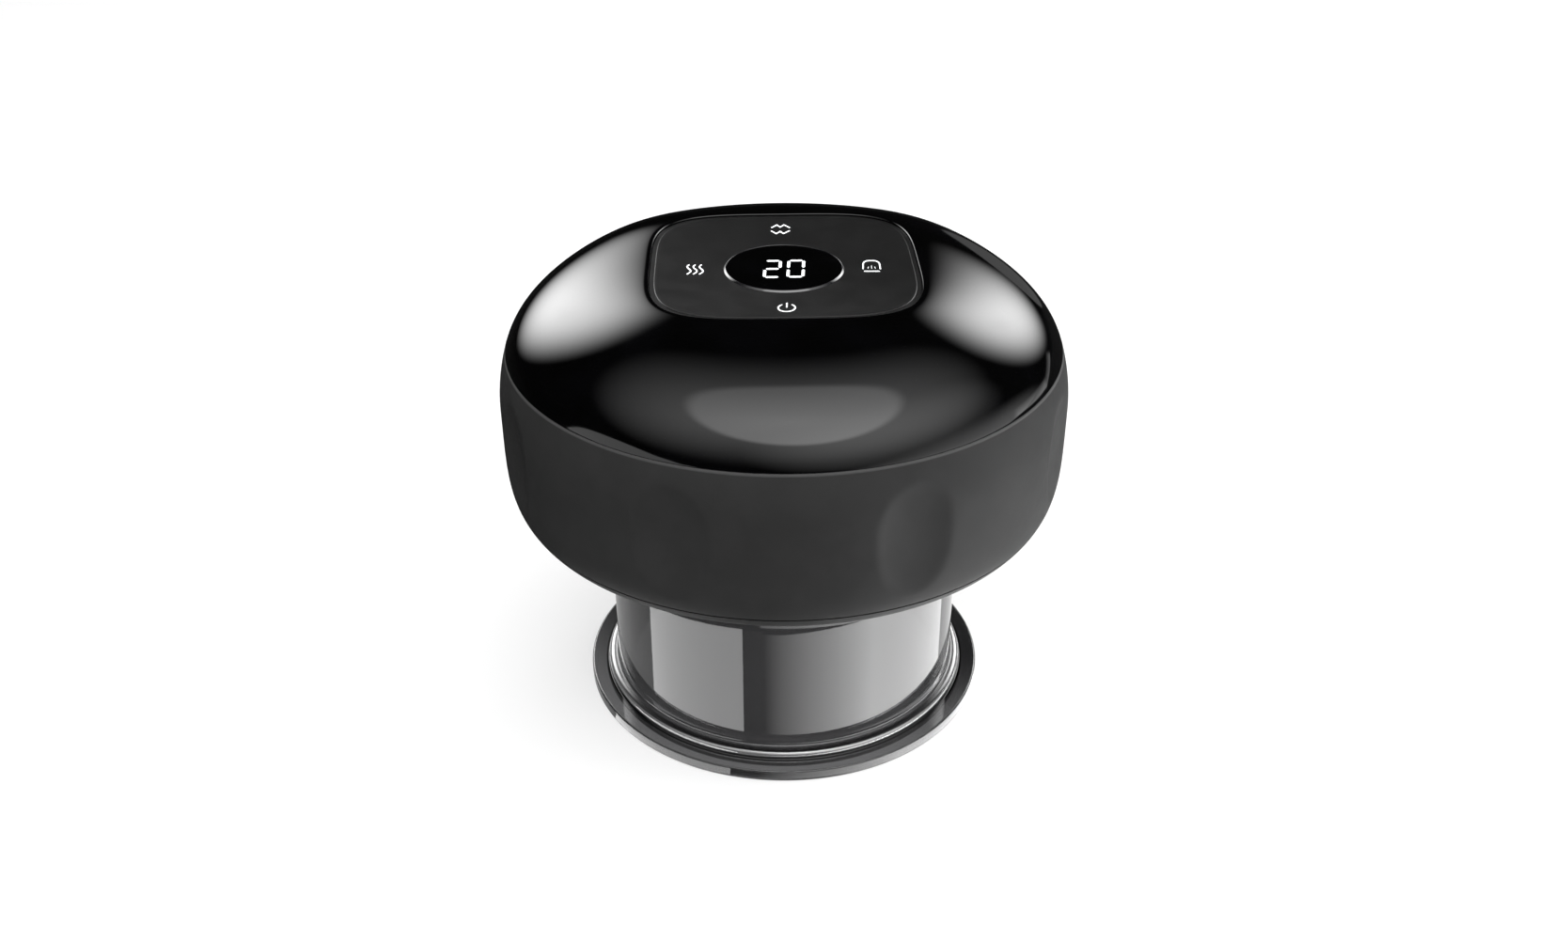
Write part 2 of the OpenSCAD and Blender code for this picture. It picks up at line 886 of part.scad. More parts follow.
// Insulating end cap with rear bearing and two terminals
module motor_cap() {
    color("#e4e1d6")
        on_pump_axis()
            difference() {
                union() {
                    translate([0, 0, motor_l - 2])
                        cylinder(r = motor_r, h = 2);
                    for (y = [-1, 1])
                        translate([-7.4, y * 5 - 1, motor_l - eps])
                            cube([0.8, 2, 2]);
                }
                translate([0, 0, motor_l - 3])
                    cylinder(r = shaft_r + 0.05, h = 2.4);
            }
}

// Two magnet arcs inside the can
module motor_magnets() {
    magnet_z = 6;
    magnet_l = 18;
    color("#4a4642")
        on_pump_axis()
            translate([0, 0, magnet_z])
                for (s = [0, 180])
                    rotate([0, 0, s])
                        intersection() {
                            washer(motor_r - 1.02, motor_r - 3.2, 0, magnet_l);
                            translate([2, -motor_r, 0])
                                cube([motor_r, motor_d, magnet_l]);
                        }
}

module motor_leads() {
    color("#a83232")
        for (s = [-1, 1])
            capped_loft(sweep_rings(smooth_route(motor_lead_route(s), 3), lead_r, 8, [1, 0, 1]));
}

module motor_shaft() {
    color("#c7c9cc")
        on_pump_axis()
            translate([0, 0, -7])
                cylinder(r = shaft_r, h = motor_l + 6.2);
}

// Three-pole armature and commutator on the shaft
module motor_rotor() {
    core_r = motor_r - 3.6;
    core_z = 7;
    core_l = 15;
    commutator_r = 2.6;
    commutator_l = 5;
    slot_r = 1.6;
    color("#7d6a4f")
        on_pump_axis()
            difference() {
                union() {
                    translate([0, 0, core_z])
                        cylinder(r = core_r, h = core_l);
                    translate([0, 0, core_z + core_l - eps])
                        cylinder(r = commutator_r, h = commutator_l);
                }
                cylinder(r = shaft_r + eps, h = motor_l);
                around(3, core_r - 2.4, 30)
                    translate([0, 0, core_z - 1])
                        cylinder(r = slot_r, h = core_l + 2);
            }
}

// Crank disc with the eccentric pin that rocks the diaphragm
module drive_crank() {
    disc_z = -7.5;
    disc_r = 5;
    disc_t = 4.7;
    pin_z = -11.4;
    pin_l = 4;
    color("#d7d2c2")
        on_pump_axis()
            difference() {
                union() {
                    translate([0, 0, disc_z])
                        cylinder(r = disc_r, h = disc_t);
                    translate([crank_offset, 0, pin_z])
                        cylinder(r = crank_pin_r, h = pin_l);
                }
                translate([0, 0, -7])
                    cylinder(r = shaft_r + eps, h = 8);
            }
}

// Pump case around crank and rocker
module pump_case() {
    color("#2f3338")
        on_pump_axis()
            difference() {
                translate([0, 0, -pump_case_l])
                    cylinder(r = pump_r, h = pump_case_l);
                translate([0, 0, -pump_case_l - 1])
                    cylinder(r = pump_bore_r, h = pump_case_l + 1 - pump_back_t);
                translate([0, 0, -4])
                    cylinder(r = boss_r + 0.1, h = 6);
                pump_bolts(screw_r + 0.05, -pump_case_l - 1, 10);
            }
}

// Rocker with three arms, one to each diaphragm cup
module pump_rocker() {
    hub_hole_r = crank_offset + crank_pin_r + gap;
    hub_z = -11.8;
    hub_l = 3.6;
    arm = [chamber_ring_r + 1.5, 2, 1.2];
    color("#d7d2c2")
        on_pump_axis()
            translate([0, 0, hub_z])
                difference() {
                    union() {
                        cylinder(r = hub_hole_r + 1.5, h = hub_l);
                        around(3, 0, 0)
                            translate([0, -arm[1] / 2, 0])
                                cube(arm);
                    }
                    translate([0, 0, -1])
                        cylinder(r = hub_hole_r, h = hub_l + 2);
                }
}

// Rubber sheet with three pumping cups
module pump_diaphragm() {
    cup_h = 2.2;
    color("#1c1c1c")
        on_pump_axis()
            translate([0, 0, -pump_case_l - skin_t])
                difference() {
                    union() {
                        cylinder(r = pump_r, h = skin_t);
                        around(3, chamber_ring_r, 0)
                            cylinder(r = 3, h = skin_t + cup_h);
                    }
                    around(3, chamber_ring_r, 0)
                        translate([0, 0, -1])
                            cylinder(r = 2.4, h = cup_h + 1);
                    pump_bolts(screw_r + 0.05, -1, 4);
                }
}

// Valve plate with an inlet and an outlet hole over each cup
module pump_valve_plate() {
    color("#cfcabb")
        on_pump_axis()
            translate([0, 0, -pump_case_l - skin_t - valve_plate_t])
                difference() {
                    cylinder(r = pump_r, h = valve_plate_t);
                    for (r = [chamber_ring_r - 1.1, chamber_ring_r + 1.1])
                        around(3, r, 0)
                            translate([0, 0, -1])
                                cylinder(r = 0.7, h = valve_plate_t + 2);
                    pump_bolts(screw_r + 0.05, -1, 5);
                }
}

// Cover with the inlet and outlet nozzles and their two air chambers
module pump_cover() {
    rear = -pump_case_l - skin_t - valve_plate_t;
    front = rear - cover_l;
    color("#2f3338")
        on_pump_axis()
            difference() {
                union() {
                    translate([0, 0, front])
                        cylinder(r = pump_r, h = cover_l);
                    for (y = [-nozzle_y, nozzle_y])
                        translate([0, y, front - nozzle_l])
                            cylinder(r = nozzle_r, h = nozzle_l + eps);
                }
                for (y = [-nozzle_y, nozzle_y]) {
                    translate([0, y, front - nozzle_l - 1])
                        cylinder(r = bore_r, h = nozzle_l + 4);
                    translate([0, y, front + 2])
                        cylinder(r = 3.6, h = cover_l);
                }
                pump_bolts(screw_r + 0.05, front - 1, cover_l + 2);
            }
}

module pump_screws() {
    front = -pump_case_l - skin_t - valve_plate_t - cover_l;
    color("#8c8d90")
        on_pump_axis()
            union() {
                pump_bolts(screw_r, front - eps, 16);
                pump_bolts(1.4, front - screw_head_h, screw_head_h);
            }
}

// Air path

// Hose from the pump's inlet round to the tee
module pump_hose() {
    path = smooth_route(pump_hose_route, 3);
    side = [0, 0, 1];
    color("#c9ccce")
        ring_loft(concat(
            sweep_rings(path, hose_r, 12, side),
            reversed(sweep_rings(path, nozzle_r + 0.15, 12, side))
        ));
}

module suction_hose() {
    color("#c9ccce")
        washer(hose_r, barb_r + 0.06, chassis_z + 0.4, tee_z - 3.2 - chassis_z - 0.4);
}

// Tee between the suction port, the pump and the release valve
module hose_tee() {
    leg = 7.5;
    hub_r = barb_r + 0.6;
    hub_l = 2.5;
    color("#4a4b4d")
        translate([0, 0, tee_z])
            difference() {
                union() {
                    rotate([0, 90, 0])
                        cylinder(r = barb_r, h = 2 * leg, center = true);
                    translate([0, 0, -leg])
                        cylinder(r = barb_r, h = leg);
                    rotate([0, 90, 0])
                        cylinder(r = hub_r, h = 2 * hub_l, center = true);
                    translate([0, 0, -hub_l])
                        cylinder(r = hub_r, h = hub_l);
                }
                rotate([0, 90, 0])
                    cylinder(r = bore_r, h = 2 * leg + 2, center = true);
                translate([0, 0, -leg - 1])
                    cylinder(r = bore_r, h = leg + 1);
            }
}

module valve_hose() {
    color("#c9ccce")
        translate([0, 0, tee_z])
            rotate([0, 90, 0])
                washer(hose_r, barb_r + 0.06, 2.6, valve_x - 2.7);
}

// Release valve

// Nozzle and seat that the plunger closes
module valve_seat() {
    seat_t = 2;
    stem_l = 5;
    hole_r = 0.8;
    color("#4a4b4d")
        on_valve_axis()
            difference() {
                union() {
                    cylinder(r = valve_r, h = seat_t);
                    translate([0, 0, -stem_l])
                        cylinder(r = barb_r, h = stem_l + eps);
                }
                translate([0, 0, -stem_l - 1])
                    cylinder(r = hole_r, h = stem_l + seat_t + 2);
            }
}

module valve_can() {
    color("#9fa2a6")
        on_valve_axis()
            difference() {
                translate([0, 0, 2])
                    cylinder(r = valve_r, h = valve_depth - 0.8);
                translate([0, 0, 1])
                    cylinder(r = valve_r - 0.4, h = valve_depth - 1);
            }
}

module valve_coil() {
    color("#b5652c")
        on_valve_axis()
            washer(valve_r - 0.45, 2.6, 4.4, 8);
}

// Armature with a soft tip on the seat
module valve_plunger() {
    color("#b9bbbe")
        on_valve_axis()
            union() {
                translate([0, 0, 2.05])
                    cylinder(r = 1.4, h = 1.2);
                translate([0, 0, plunger_z])
                    cylinder(r = 2.3, h = plunger_top - plunger_z);
            }
}

// Return spring between the armature and the can's end wall
module valve_spring() {
    turns = 4;
    wire_r = 0.18;
    coil_r = 1.6;
    low = plunger_top + wire_r + 0.05;
    high = valve_depth - wire_r - 0.05;
    path = [
        for (i = [0 : 10 * turns])
            let (a = 36 * i)
            [coil_r * cos(a), coil_r * sin(a), low + (high - low) * i / (10 * turns)]
    ];
    color("#c7c9cc")
        on_valve_axis()
            capped_loft(sweep_rings(path, wire_r, 6, [0, 0, 1]));
}

suction_cup();
lower_housing();
top_cover();
touch_panel();
display_ring();
display_lens();
display_module();
touch_board();
touch_keys();
touch_cable();
base_cover();
seal_ring();
heater_plate();
heater_film();
insulation_pad();
lamp_board();
lamps();
lamp_window();
suction_nipple();
suction_filter();
base_screws();
chassis();
chassis_screws();
battery_cell();
battery_tabs();
main_board();
board_screws();
charge_board();
usb_socket();
motor_can();
motor_cap();
motor_magnets();
motor_leads();
motor_shaft();
motor_rotor();
drive_crank();
pump_case();
pump_rocker();
pump_diaphragm();
pump_valve_plate();
pump_cover();
pump_screws();
pump_hose();
suction_hose();
hose_tee();
valve_hose();
valve_seat();
valve_can();
valve_coil();
valve_plunger();
valve_spring();
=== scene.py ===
"""Looks of a rechargeable cupping massager: gloss cover, matte grip, lit touch panel and smoked cup."""

import logging
import math
from collections.abc import Callable, Sequence
from dataclasses import dataclass, field
from enum import Enum

import bmesh
import bpy
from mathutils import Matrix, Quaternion, Vector


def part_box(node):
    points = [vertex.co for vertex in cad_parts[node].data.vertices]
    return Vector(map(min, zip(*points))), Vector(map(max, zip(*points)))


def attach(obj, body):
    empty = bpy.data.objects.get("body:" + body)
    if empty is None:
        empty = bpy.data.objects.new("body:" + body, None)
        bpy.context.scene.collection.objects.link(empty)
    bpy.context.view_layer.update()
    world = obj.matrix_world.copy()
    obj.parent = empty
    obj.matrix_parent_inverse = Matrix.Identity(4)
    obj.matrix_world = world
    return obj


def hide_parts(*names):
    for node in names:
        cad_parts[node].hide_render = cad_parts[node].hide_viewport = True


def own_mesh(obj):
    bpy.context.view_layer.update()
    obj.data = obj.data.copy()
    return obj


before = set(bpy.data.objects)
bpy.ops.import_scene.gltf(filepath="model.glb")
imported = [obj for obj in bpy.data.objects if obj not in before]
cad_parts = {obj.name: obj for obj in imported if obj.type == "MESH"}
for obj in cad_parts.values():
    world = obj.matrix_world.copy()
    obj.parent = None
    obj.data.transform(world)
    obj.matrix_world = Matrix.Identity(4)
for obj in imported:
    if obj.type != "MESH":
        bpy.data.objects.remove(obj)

LOG = logging.getLogger("massager")
MM = 0.001
HEAD = "head"
CUP = "cup"

Point = tuple[float, float]
Station = tuple[float, float, float]
Colour = tuple[float, float, float, float]
Ring = list[Vector]
Socket = bpy.types.NodeSocket
Paint = Colour | Socket


# Shared geometry


def srgb(code: str) -> Colour:
    """Linear colour of a written one.

    Args:
        code: six hexadecimal digits after a hash sign.

    Returns:
        The linear red, green, blue and full alpha.
    """
    parts = [int(code[k:k + 2], 16) / 255 for k in (1, 3, 5)]
    linear = [c / 12.92 if c <= 0.04045 else ((c + 0.055) / 1.055) ** 2.4 for c in parts]
    return (*linear, 1.0)


def grey(level: float) -> Colour:
    """A linear grey of the given level."""
    return (level, level, level, 1.0)


def arc(centre: Point, radius: float, start: float, end: float, steps: int) -> list[Point]:
    """Points of a round stretch of a section.

    Args:
        centre: its centre as radius and height.
        radius: its radius.
        start: first angle in degrees.
        end: last angle in degrees.
        steps: stretches between the two.

    Returns:
        The points, both ends included.
    """
    angles = [math.radians(start + (end - start) * k / steps) for k in range(steps + 1)]
    return [(centre[0] + radius * math.cos(a), centre[1] + radius * math.sin(a)) for a in angles]


def direction(azimuth: float, elevation: float) -> Vector:
    """Unit vector from the object, with azimuth 0 towards the front and positive to the right.

    Args:
        azimuth: degrees round the object.
        elevation: degrees above the floor.

    Returns:
        The vector.
    """
    a, e = math.radians(azimuth), math.radians(elevation)
    return Vector((math.sin(a) * math.cos(e), -math.cos(a) * math.cos(e), math.sin(e)))


def make_object(
    name: str, points: Sequence[Sequence[float]], faces: Sequence[Sequence[int]]
) -> bpy.types.Object:
    """Mesh object from points in millimetres, with its faces turned outwards.

    Args:
        name: the object's name.
        points: corners in millimetres.
        faces: corner numbers of each face.

    Returns:
        The object, linked to the scene.
    """
    mesh = bpy.data.meshes.new(name)
    mesh.from_pydata([[c * MM for c in p] for p in points], [], faces)
    shape = bmesh.new()
    shape.from_mesh(mesh)
    bmesh.ops.recalc_face_normals(shape, faces=shape.faces)
    shape.to_mesh(mesh)
    shape.free()
    made = bpy.data.objects.new(name, mesh)
    bpy.context.scene.collection.objects.link(made)
    return made


def sheet(name: str, half_x: float, half_y: float, z: float = 0.0) -> bpy.types.Object:
    """Level rectangle of the given half sizes about the Z axis, in millimetres."""
    corners = [(-half_x, -half_y, z), (half_x, -half_y, z), (half_x, half_y, z), (-half_x, half_y, z)]
    return make_object(name, corners, [(0, 1, 2, 3)])


class Ends(Enum):
    """How a skin over rings ends."""

    JOINED = "the last ring meets the first"
    CAPPED = "a face closes each end"
    OPEN = "both ends stay open"


def skin(name: str, rings: Sequence[Ring], ends: Ends) -> bpy.types.Object:
    """Skin over rings that follow each other.

    Args:
        name: the object's name.
        rings: closed rings with equal counts of points, in millimetres.
        ends: what becomes of the first and the last ring.

    Returns:
        The object.
    """
    count = len(rings[0])
    starts = range(0, len(rings) * count, count)
    faces = [tuple(range(k, k + count)) for k in (0, starts[-1])] if ends is Ends.CAPPED else []
    nexts = [*starts[1:], 0] if ends is Ends.JOINED else starts[1:]
    for low, high in zip(starts, nexts):
        faces += [(low + i, low + (i + 1) % count, high + (i + 1) % count, high + i) for i in range(count)]
    return make_object(name, [p for ring in rings for p in ring], faces)


def polish(piece: bpy.types.Object, sharp: float = 35.0) -> None:
    """Shades a piece smooth.

    Args:
        piece: the piece.
        sharp: angle in degrees over which an edge stays sharp.
    """
    piece.data.shade_smooth()
    piece.data.set_sharp_from_angle(angle=math.radians(sharp))
    weighted = piece.modifiers.new("even_normals", "WEIGHTED_NORMAL")
    weighted.keep_sharp = True


def loft(name: str, rings: Sequence[Ring]) -> bpy.types.Object:
    """Closed skin over rings that follow each other round and back to the first.

    Args:
        name: the object's name.
        rings: closed rings with equal counts of points, in millimetres.

    Returns:
        The smooth-shaded object.
    """
    made = skin(name, rings, Ends.JOINED)
    polish(made)
    return made


def round_ring(radius: float, height: float, segments: int) -> Ring:
    """Circle of points about the Z axis.

    Args:
        radius: its radius.
        height: its height.
        segments: count of points.

    Returns:
        The ring.
    """
    turns = [2 * math.pi * i / segments for i in range(segments)]
    return [Vector((radius * math.cos(a), radius * math.sin(a), height)) for a in turns]


def revolve(name: str, section: Sequence[Point], segments: int = 192) -> bpy.types.Object:
    """Solid of revolution of a closed section that stays off the axis.

    Args:
        name: the object's name.
        section: radius and height of each corner.
        segments: points round the axis.

    Returns:
        The smooth-shaded object.
    """
    return loft(name, [round_ring(r, z, segments) for r, z in section])


# Shader graphs

# Length of one wave of a Wave Texture at a scale of 1
WAVE_LENGTH = math.pi / 10


@dataclass(frozen=True)
class Value:
    """A number socket that takes part in Python arithmetic."""

    graph: "Graph"
    socket: Socket

    def math(self, operation: str, first: "Value | float", second: "Value | float") -> "Value":
        """Adds one Math node.

        Args:
            operation: the node's operation.
            first: its first term.
            second: its second term.

        Returns:
            The result.
        """
        made = self.graph.node("ShaderNodeMath", {"operation": operation}, {0: first, 1: second})
        return Value(self.graph, made.outputs[0])

    def __add__(self, other: "Value | float") -> "Value":
        """Sum."""
        return self.math("ADD", self, other)

    def __radd__(self, other: float) -> "Value":
        """Sum with a number first."""
        return self.math("ADD", other, self)

    def __sub__(self, other: "Value | float") -> "Value":
        """Difference."""
        return self.math("SUBTRACT", self, other)

    def __rsub__(self, other: float) -> "Value":
        """Difference from a number."""
        return self.math("SUBTRACT", other, self)

    def __mul__(self, other: "Value | float") -> "Value":
        """Product."""
        return self.math("MULTIPLY", self, other)

    def __rmul__(self, other: float) -> "Value":
        """Product with a number first."""
        return self.math("MULTIPLY", other, self)

    def __truediv__(self, other: "Value | float") -> "Value":
        """Quotient."""
        return self.math("DIVIDE", self, other)

    def __pow__(self, other: "Value | float") -> "Value":
        """Power."""
        return self.math("POWER", self, other)

    def at_least(self, other: "Value | float") -> "Value":
        """The larger of two."""
        return self.math("MAXIMUM", self, other)

    def at_most(self, other: "Value | float") -> "Value":
        """The smaller of two."""
        return self.math("MINIMUM", self, other)

    def size(self) -> "Value":
        """Size without sign."""
        return self.math("ABSOLUTE", self, 0.0)

    def step(self, low: float, high: float) -> "Value":
        """Smooth rise from 0 at low to 1 at high.

        Args:
            low: where it leaves 0.
            high: where it reaches 1.

        Returns:
            The eased share.
        """
        settings = {"interpolation_type": "SMOOTHSTEP"}
        made = self.graph.node("ShaderNodeMapRange", settings, {0: self, 1: low, 2: high})
        return Value(self.graph, made.outputs[0])


class Graph:
    """The nodes of one material or world."""

    def __init__(self, tree: bpy.types.NodeTree) -> None:
        """Starts from an empty tree."""
        self.tree = tree
        tree.nodes.clear()

    def node(self, kind: str, settings: dict | None = None, inputs: dict | None = None) -> bpy.types.Node:
        """Adds one node of any type.

        Args:
            kind: the node's type.
            settings: its own settings, set first.
            inputs: a value, socket or Value for each of its sockets.

        Returns:
            The node.
        """
        made = self.tree.nodes.new(kind)
        for key, value in (settings or {}).items():
            setattr(made, key, value)
        for key, value in (inputs or {}).items():
            source = value.socket if isinstance(value, Value) else value
            if isinstance(source, Socket):
                self.tree.links.new(source, made.inputs[key])
            else:
                made.inputs[key].default_value = source
        return made

    def place(self, stretch: Sequence[float] = (1, 1, 1)) -> Socket:
        """The surface point in metres, in the part's frame.

        Args:
            stretch: scale along each axis.

        Returns:
            The point's socket.
        """
        point = self.node("ShaderNodeTexCoord").outputs["Object"]
        if tuple(stretch) == (1, 1, 1):
            return point
        scaled = self.node("ShaderNodeVectorMath", {"operation": "MULTIPLY"}, {0: point, 1: tuple(stretch)})
        return scaled.outputs[0]

    def axes(self) -> tuple[Value, Value, Value]:
        """The surface point's three coordinates in metres."""
        parts = self.node("ShaderNodeSeparateXYZ", None, {0: self.place()})
        return tuple(Value(self, parts.outputs[k]) for k in range(3))

    def radius(self) -> Value:
        """The surface point's distance from the Z axis in metres."""
        x, y, _ = self.axes()
        return (x * x + y * y) ** 0.5

    def noise(self, size: float, detail: float = 3.0, stretch: Sequence[float] = (1, 1, 1)) -> Value:
        """Soft random field.

        Args:
            size: width of its features in millimetres.
            detail: octaves.
            stretch: scale along each axis.

        Returns:
            The field, about 0.5 on average.
        """
        inputs = {"Vector": self.place(stretch), "Scale": 1 / (size * MM), "Detail": detail}
        return Value(self, self.node("ShaderNodeTexNoise", None, inputs).outputs[0])

    def cells(self, size: float, metric: str = "EUCLIDEAN") -> Value:
        """Distance field of random cells.

        Args:
            size: width of a cell in millimetres.
            metric: how distance is measured.

        Returns:
            The distance to the nearest cell's centre.
        """
        inputs = {"Vector": self.place(), "Scale": 1 / (size * MM)}
        made = self.node("ShaderNodeTexVoronoi", {"distance": metric}, inputs)
        return Value(self, made.outputs["Distance"])

    def bands(self, size: float, axis: str) -> Value:
        """Even waves along one axis.

        Args:
            size: length of a wave in millimetres.
            axis: "X", "Y" or "Z".

        Returns:
            The wave, from 0 to 1.
        """
        settings = {"wave_type": "BANDS", "bands_direction": axis}
        inputs = {"Vector": self.place(), "Scale": WAVE_LENGTH / (size * MM)}
        return Value(self, self.node("ShaderNodeTexWave", settings, inputs).outputs[1])

    def blend(self, share: Value, first: Paint, second: Paint) -> Socket:
        """Colour between two.

        Args:
            share: 0 for the first and 1 for the second.
            first: one colour or socket.
            second: the other.

        Returns:
            The mixed colour's socket.
        """
        settings = {"data_type": "RGBA", "clamp_factor": True}
        return self.node("ShaderNodeMix", settings, {0: share, 6: first, 7: second}).outputs[2]

    def bump(self, height: Value, depth: float) -> Socket:
        """Normal bent by a height field of the given depth in millimetres."""
        inputs = {"Strength": 1.0, "Distance": depth * MM, "Height": height}
        return self.node("ShaderNodeBump", None, inputs).outputs[0]

    def emission(self, colour: Paint, strength: float) -> Socket:
        """Glow of a colour at a strength."""
        return self.node("ShaderNodeEmission", None, {"Color": colour, "Strength": strength}).outputs[0]

    def diffuse(self, albedo: float) -> Socket:
        """Plain matte grey."""
        return self.node("ShaderNodeBsdfDiffuse", None, {"Color": grey(albedo)}).outputs[0]

    def clear(self) -> Socket:
        """A shader that lets everything through."""
        return self.node("ShaderNodeBsdfTransparent").outputs[0]

    def add(self, first: Socket, second: Socket) -> Socket:
        """Sum of two shaders."""
        return self.node("ShaderNodeAddShader", None, {0: first, 1: second}).outputs[0]

    def mix(self, share: "Value | Socket", first: Socket, second: Socket) -> Socket:
        """Shader between two, the first at a share of 0 and the second at 1."""
        return self.node("ShaderNodeMixShader", None, {0: share, 1: first, 2: second}).outputs[0]

    def end(self, shader: Socket, kind: str = "ShaderNodeOutputMaterial") -> None:
        """Leads a shader to the output."""
        self.node(kind, None, {"Surface": shader})


def new_material(name: str) -> tuple[bpy.types.Material, Graph]:
    """Starts a material.

    Args:
        name: the material's name.

    Returns:
        The material and its empty graph.
    """
    made = bpy.data.materials.new(name)
    made.use_nodes = True
    return made, Graph(made.node_tree)


# Finishes


class Pattern(Enum):
    """What breaks up a surface."""

    GRAIN = "moulded grain"
    POLISH = "polish with faint handling marks"
    BRUSHED = "drawn or brushed lines"
    TURNED = "turned rings about the Z axis"
    WOUND = "turns of wire along X"
    TRACKS = "board tracks"
    PORES = "open pores"
    FIBRES = "felted fibres"


@dataclass(frozen=True)
class Finish:
    """One procedural surface: a colour, a second colour that the pattern brings in, and how it reflects."""

    name: str
    colour: str
    shade: str
    pattern: Pattern
    size: float
    roughness: float
    swing: float = 0.1
    depth: float = 0.01
    metallic: float = 0.0
    coat: float = 0.0
    ior: float = 1.5
    specular: float = 0.5
    transmission: float = 0.0
    glow: float = 0.0
    least_roughness: float = 0.02

    def fields(self, graph: Graph) -> tuple[Value, Value]:
        """The pattern as a colour share and a height.

        Args:
            graph: the material's graph.

        Returns:
            The share of the second colour and the height field, both about 0 to 1.
        """
        if self.pattern is Pattern.POLISH:
            marks = graph.noise(self.size, detail=5.0)
            hairlines = graph.noise(self.size / 12, detail=2.0, stretch=(1, 14, 3))
            return marks.step(0.35, 0.75), marks * 0.6 + hairlines * 0.4
        if self.pattern is Pattern.BRUSHED:
            lines = graph.noise(self.size, detail=4.0, stretch=(0.05, 1, 1))
            return lines.step(0.3, 0.7), lines
        if self.pattern is Pattern.TURNED:
            wave = self.ring_wave(graph.radius())
            rings = graph.noise(self.size * 3, detail=2.0) * 0.5 + wave * 0.5
            return rings.step(0.2, 0.8), rings
        if self.pattern is Pattern.WOUND:
            turns = graph.bands(self.size, "X")
            return 1 - turns.step(0.1, 0.7), turns
        if self.pattern is Pattern.TRACKS:
            tracks = graph.cells(self.size, "CHEBYCHEV")
            regions = graph.noise(self.size * 3).step(0.42, 0.5)
            return tracks.step(0.42, 0.5) * regions, tracks.step(0.4, 0.5)
        if self.pattern is Pattern.PORES:
            pores = graph.cells(self.size)
            return 1 - pores.step(0.1, 0.5), pores
        if self.pattern is Pattern.FIBRES:
            along = graph.noise(self.size, detail=6.0, stretch=(1, 0.2, 1))
            across = graph.noise(self.size, detail=6.0, stretch=(0.2, 1, 1))
            strands = along * 0.5 + across * 0.5
            return strands.step(0.35, 0.65), strands
        fine = graph.noise(self.size, detail=2.0)
        clouds = graph.noise(self.size * 40, detail=4.0).step(0.3, 0.7)
        return clouds * 0.6 + fine * 0.4, fine

    def ring_wave(self, radius: Value) -> Value:
        """Even rings of one pattern size, from 0 to 1."""
        turn = radius * (2 * math.pi / (self.size * MM))
        return turn.math("SINE", turn, 0.0) * 0.5 + 0.5

    def sockets(self, graph: Graph) -> dict:
        """What feeds the main shader.

        Args:
            graph: the material's graph.

        Returns:
            Values and links by socket name.
        """
        share, height = self.fields(graph)
        rough = self.roughness + (share - 0.5) * self.swing
        inputs = {
            "Base Color": graph.blend(share, srgb(self.colour), srgb(self.shade)),
            "Roughness": rough.at_least(self.least_roughness).at_most(1.0),
            "Normal": graph.bump(height, self.depth),
            "Metallic": self.metallic,
            "IOR": self.ior,
            "Specular IOR Level": self.specular,
            "Coat Weight": self.coat,
            "Transmission Weight": self.transmission,
        }
        if self.glow:
            inputs["Emission Color"] = inputs["Base Color"]
            inputs["Emission Strength"] = self.glow
        return inputs

    def material(self) -> bpy.types.Material:
        """Makes the finish as a material, once.

        Returns:
            The material.
        """
        known = bpy.data.materials.get("finish_" + self.name)
        if known:
            return known
        made, graph = new_material("finish_" + self.name)
        shader = graph.node("ShaderNodeBsdfPrincipled", None, self.sockets(graph))
        graph.end(shader.outputs[0])
        return made

    def dress(self, piece: bpy.types.Object) -> None:
        """Gives the piece this finish alone."""
        piece.data.materials.clear()
        piece.data.materials.append(self.material())


@dataclass(frozen=True)
class GripFinish(Finish):
    """Soft-touch matte moulding: fine grain, rubbed smoother at the widest ring, with a painted highlight
    along the rim.
    """

    rub_z: float = 59.5
    rub_reach: float = 9.0
    rub_size: float = 6.0
    rub_gain: float = 0.08
    mottle_size: float = 1.6
    # painted highlight: colour, height and blend of a thin paler band at the top edge
    highlight_rim_colour: str = "#454545"
    rim_z: float = 68.8
    rim_ease: float = 0.12

    def sockets(self, graph: Graph) -> dict:
        """Adds the rubbed ring and the painted highlight along the rim to the plain sockets.

        Args:
            graph: the material's graph.

        Returns:
            Values and links by socket name.
        """
        inputs = super().sockets(graph)
        height = graph.axes()[2] / MM
        off = height - self.rub_z
        rubbed = (1 - (off * off).step(0.0, self.rub_reach ** 2)) * graph.noise(self.rub_size, detail=4.0)
        mottle = (graph.noise(self.mottle_size) - 0.5) * self.swing
        inputs["Roughness"] = self.roughness + mottle - rubbed * self.rub_gain
        # painted highlight: the top edge blends into a paler colour
        rim = height.step(self.rim_z - self.rim_ease, self.rim_z + self.rim_ease)
        inputs["Base Color"] = graph.blend(rim, inputs["Base Color"], srgb(self.highlight_rim_colour))
        return inputs


@dataclass(frozen=True)
class PanelFinish(Finish):
    """Satin panel with painted shade: its colour darkens towards the back and the right."""

    painted_shade_colour: str = "#151515"
    half: float = 23.0
    aside: float = 0.9
    start: float = -1.0
    end: float = 0.8

    def sockets(self, graph: Graph) -> dict:
        """Adds the painted shade, darker towards the back and the right, to the plain sockets.

        Args:
            graph: the material's graph.

        Returns:
            Values and links by socket name.
        """
        inputs = super().sockets(graph)
        x, y, _ = graph.axes()
        across = (x * self.aside + y) / (self.half * MM)
        share = across.step(self.start, self.end)
        # painted shade: the colour darkens towards the back and the right
        inputs["Base Color"] = graph.blend(share, inputs["Base Color"], srgb(self.painted_shade_colour))
        return inputs


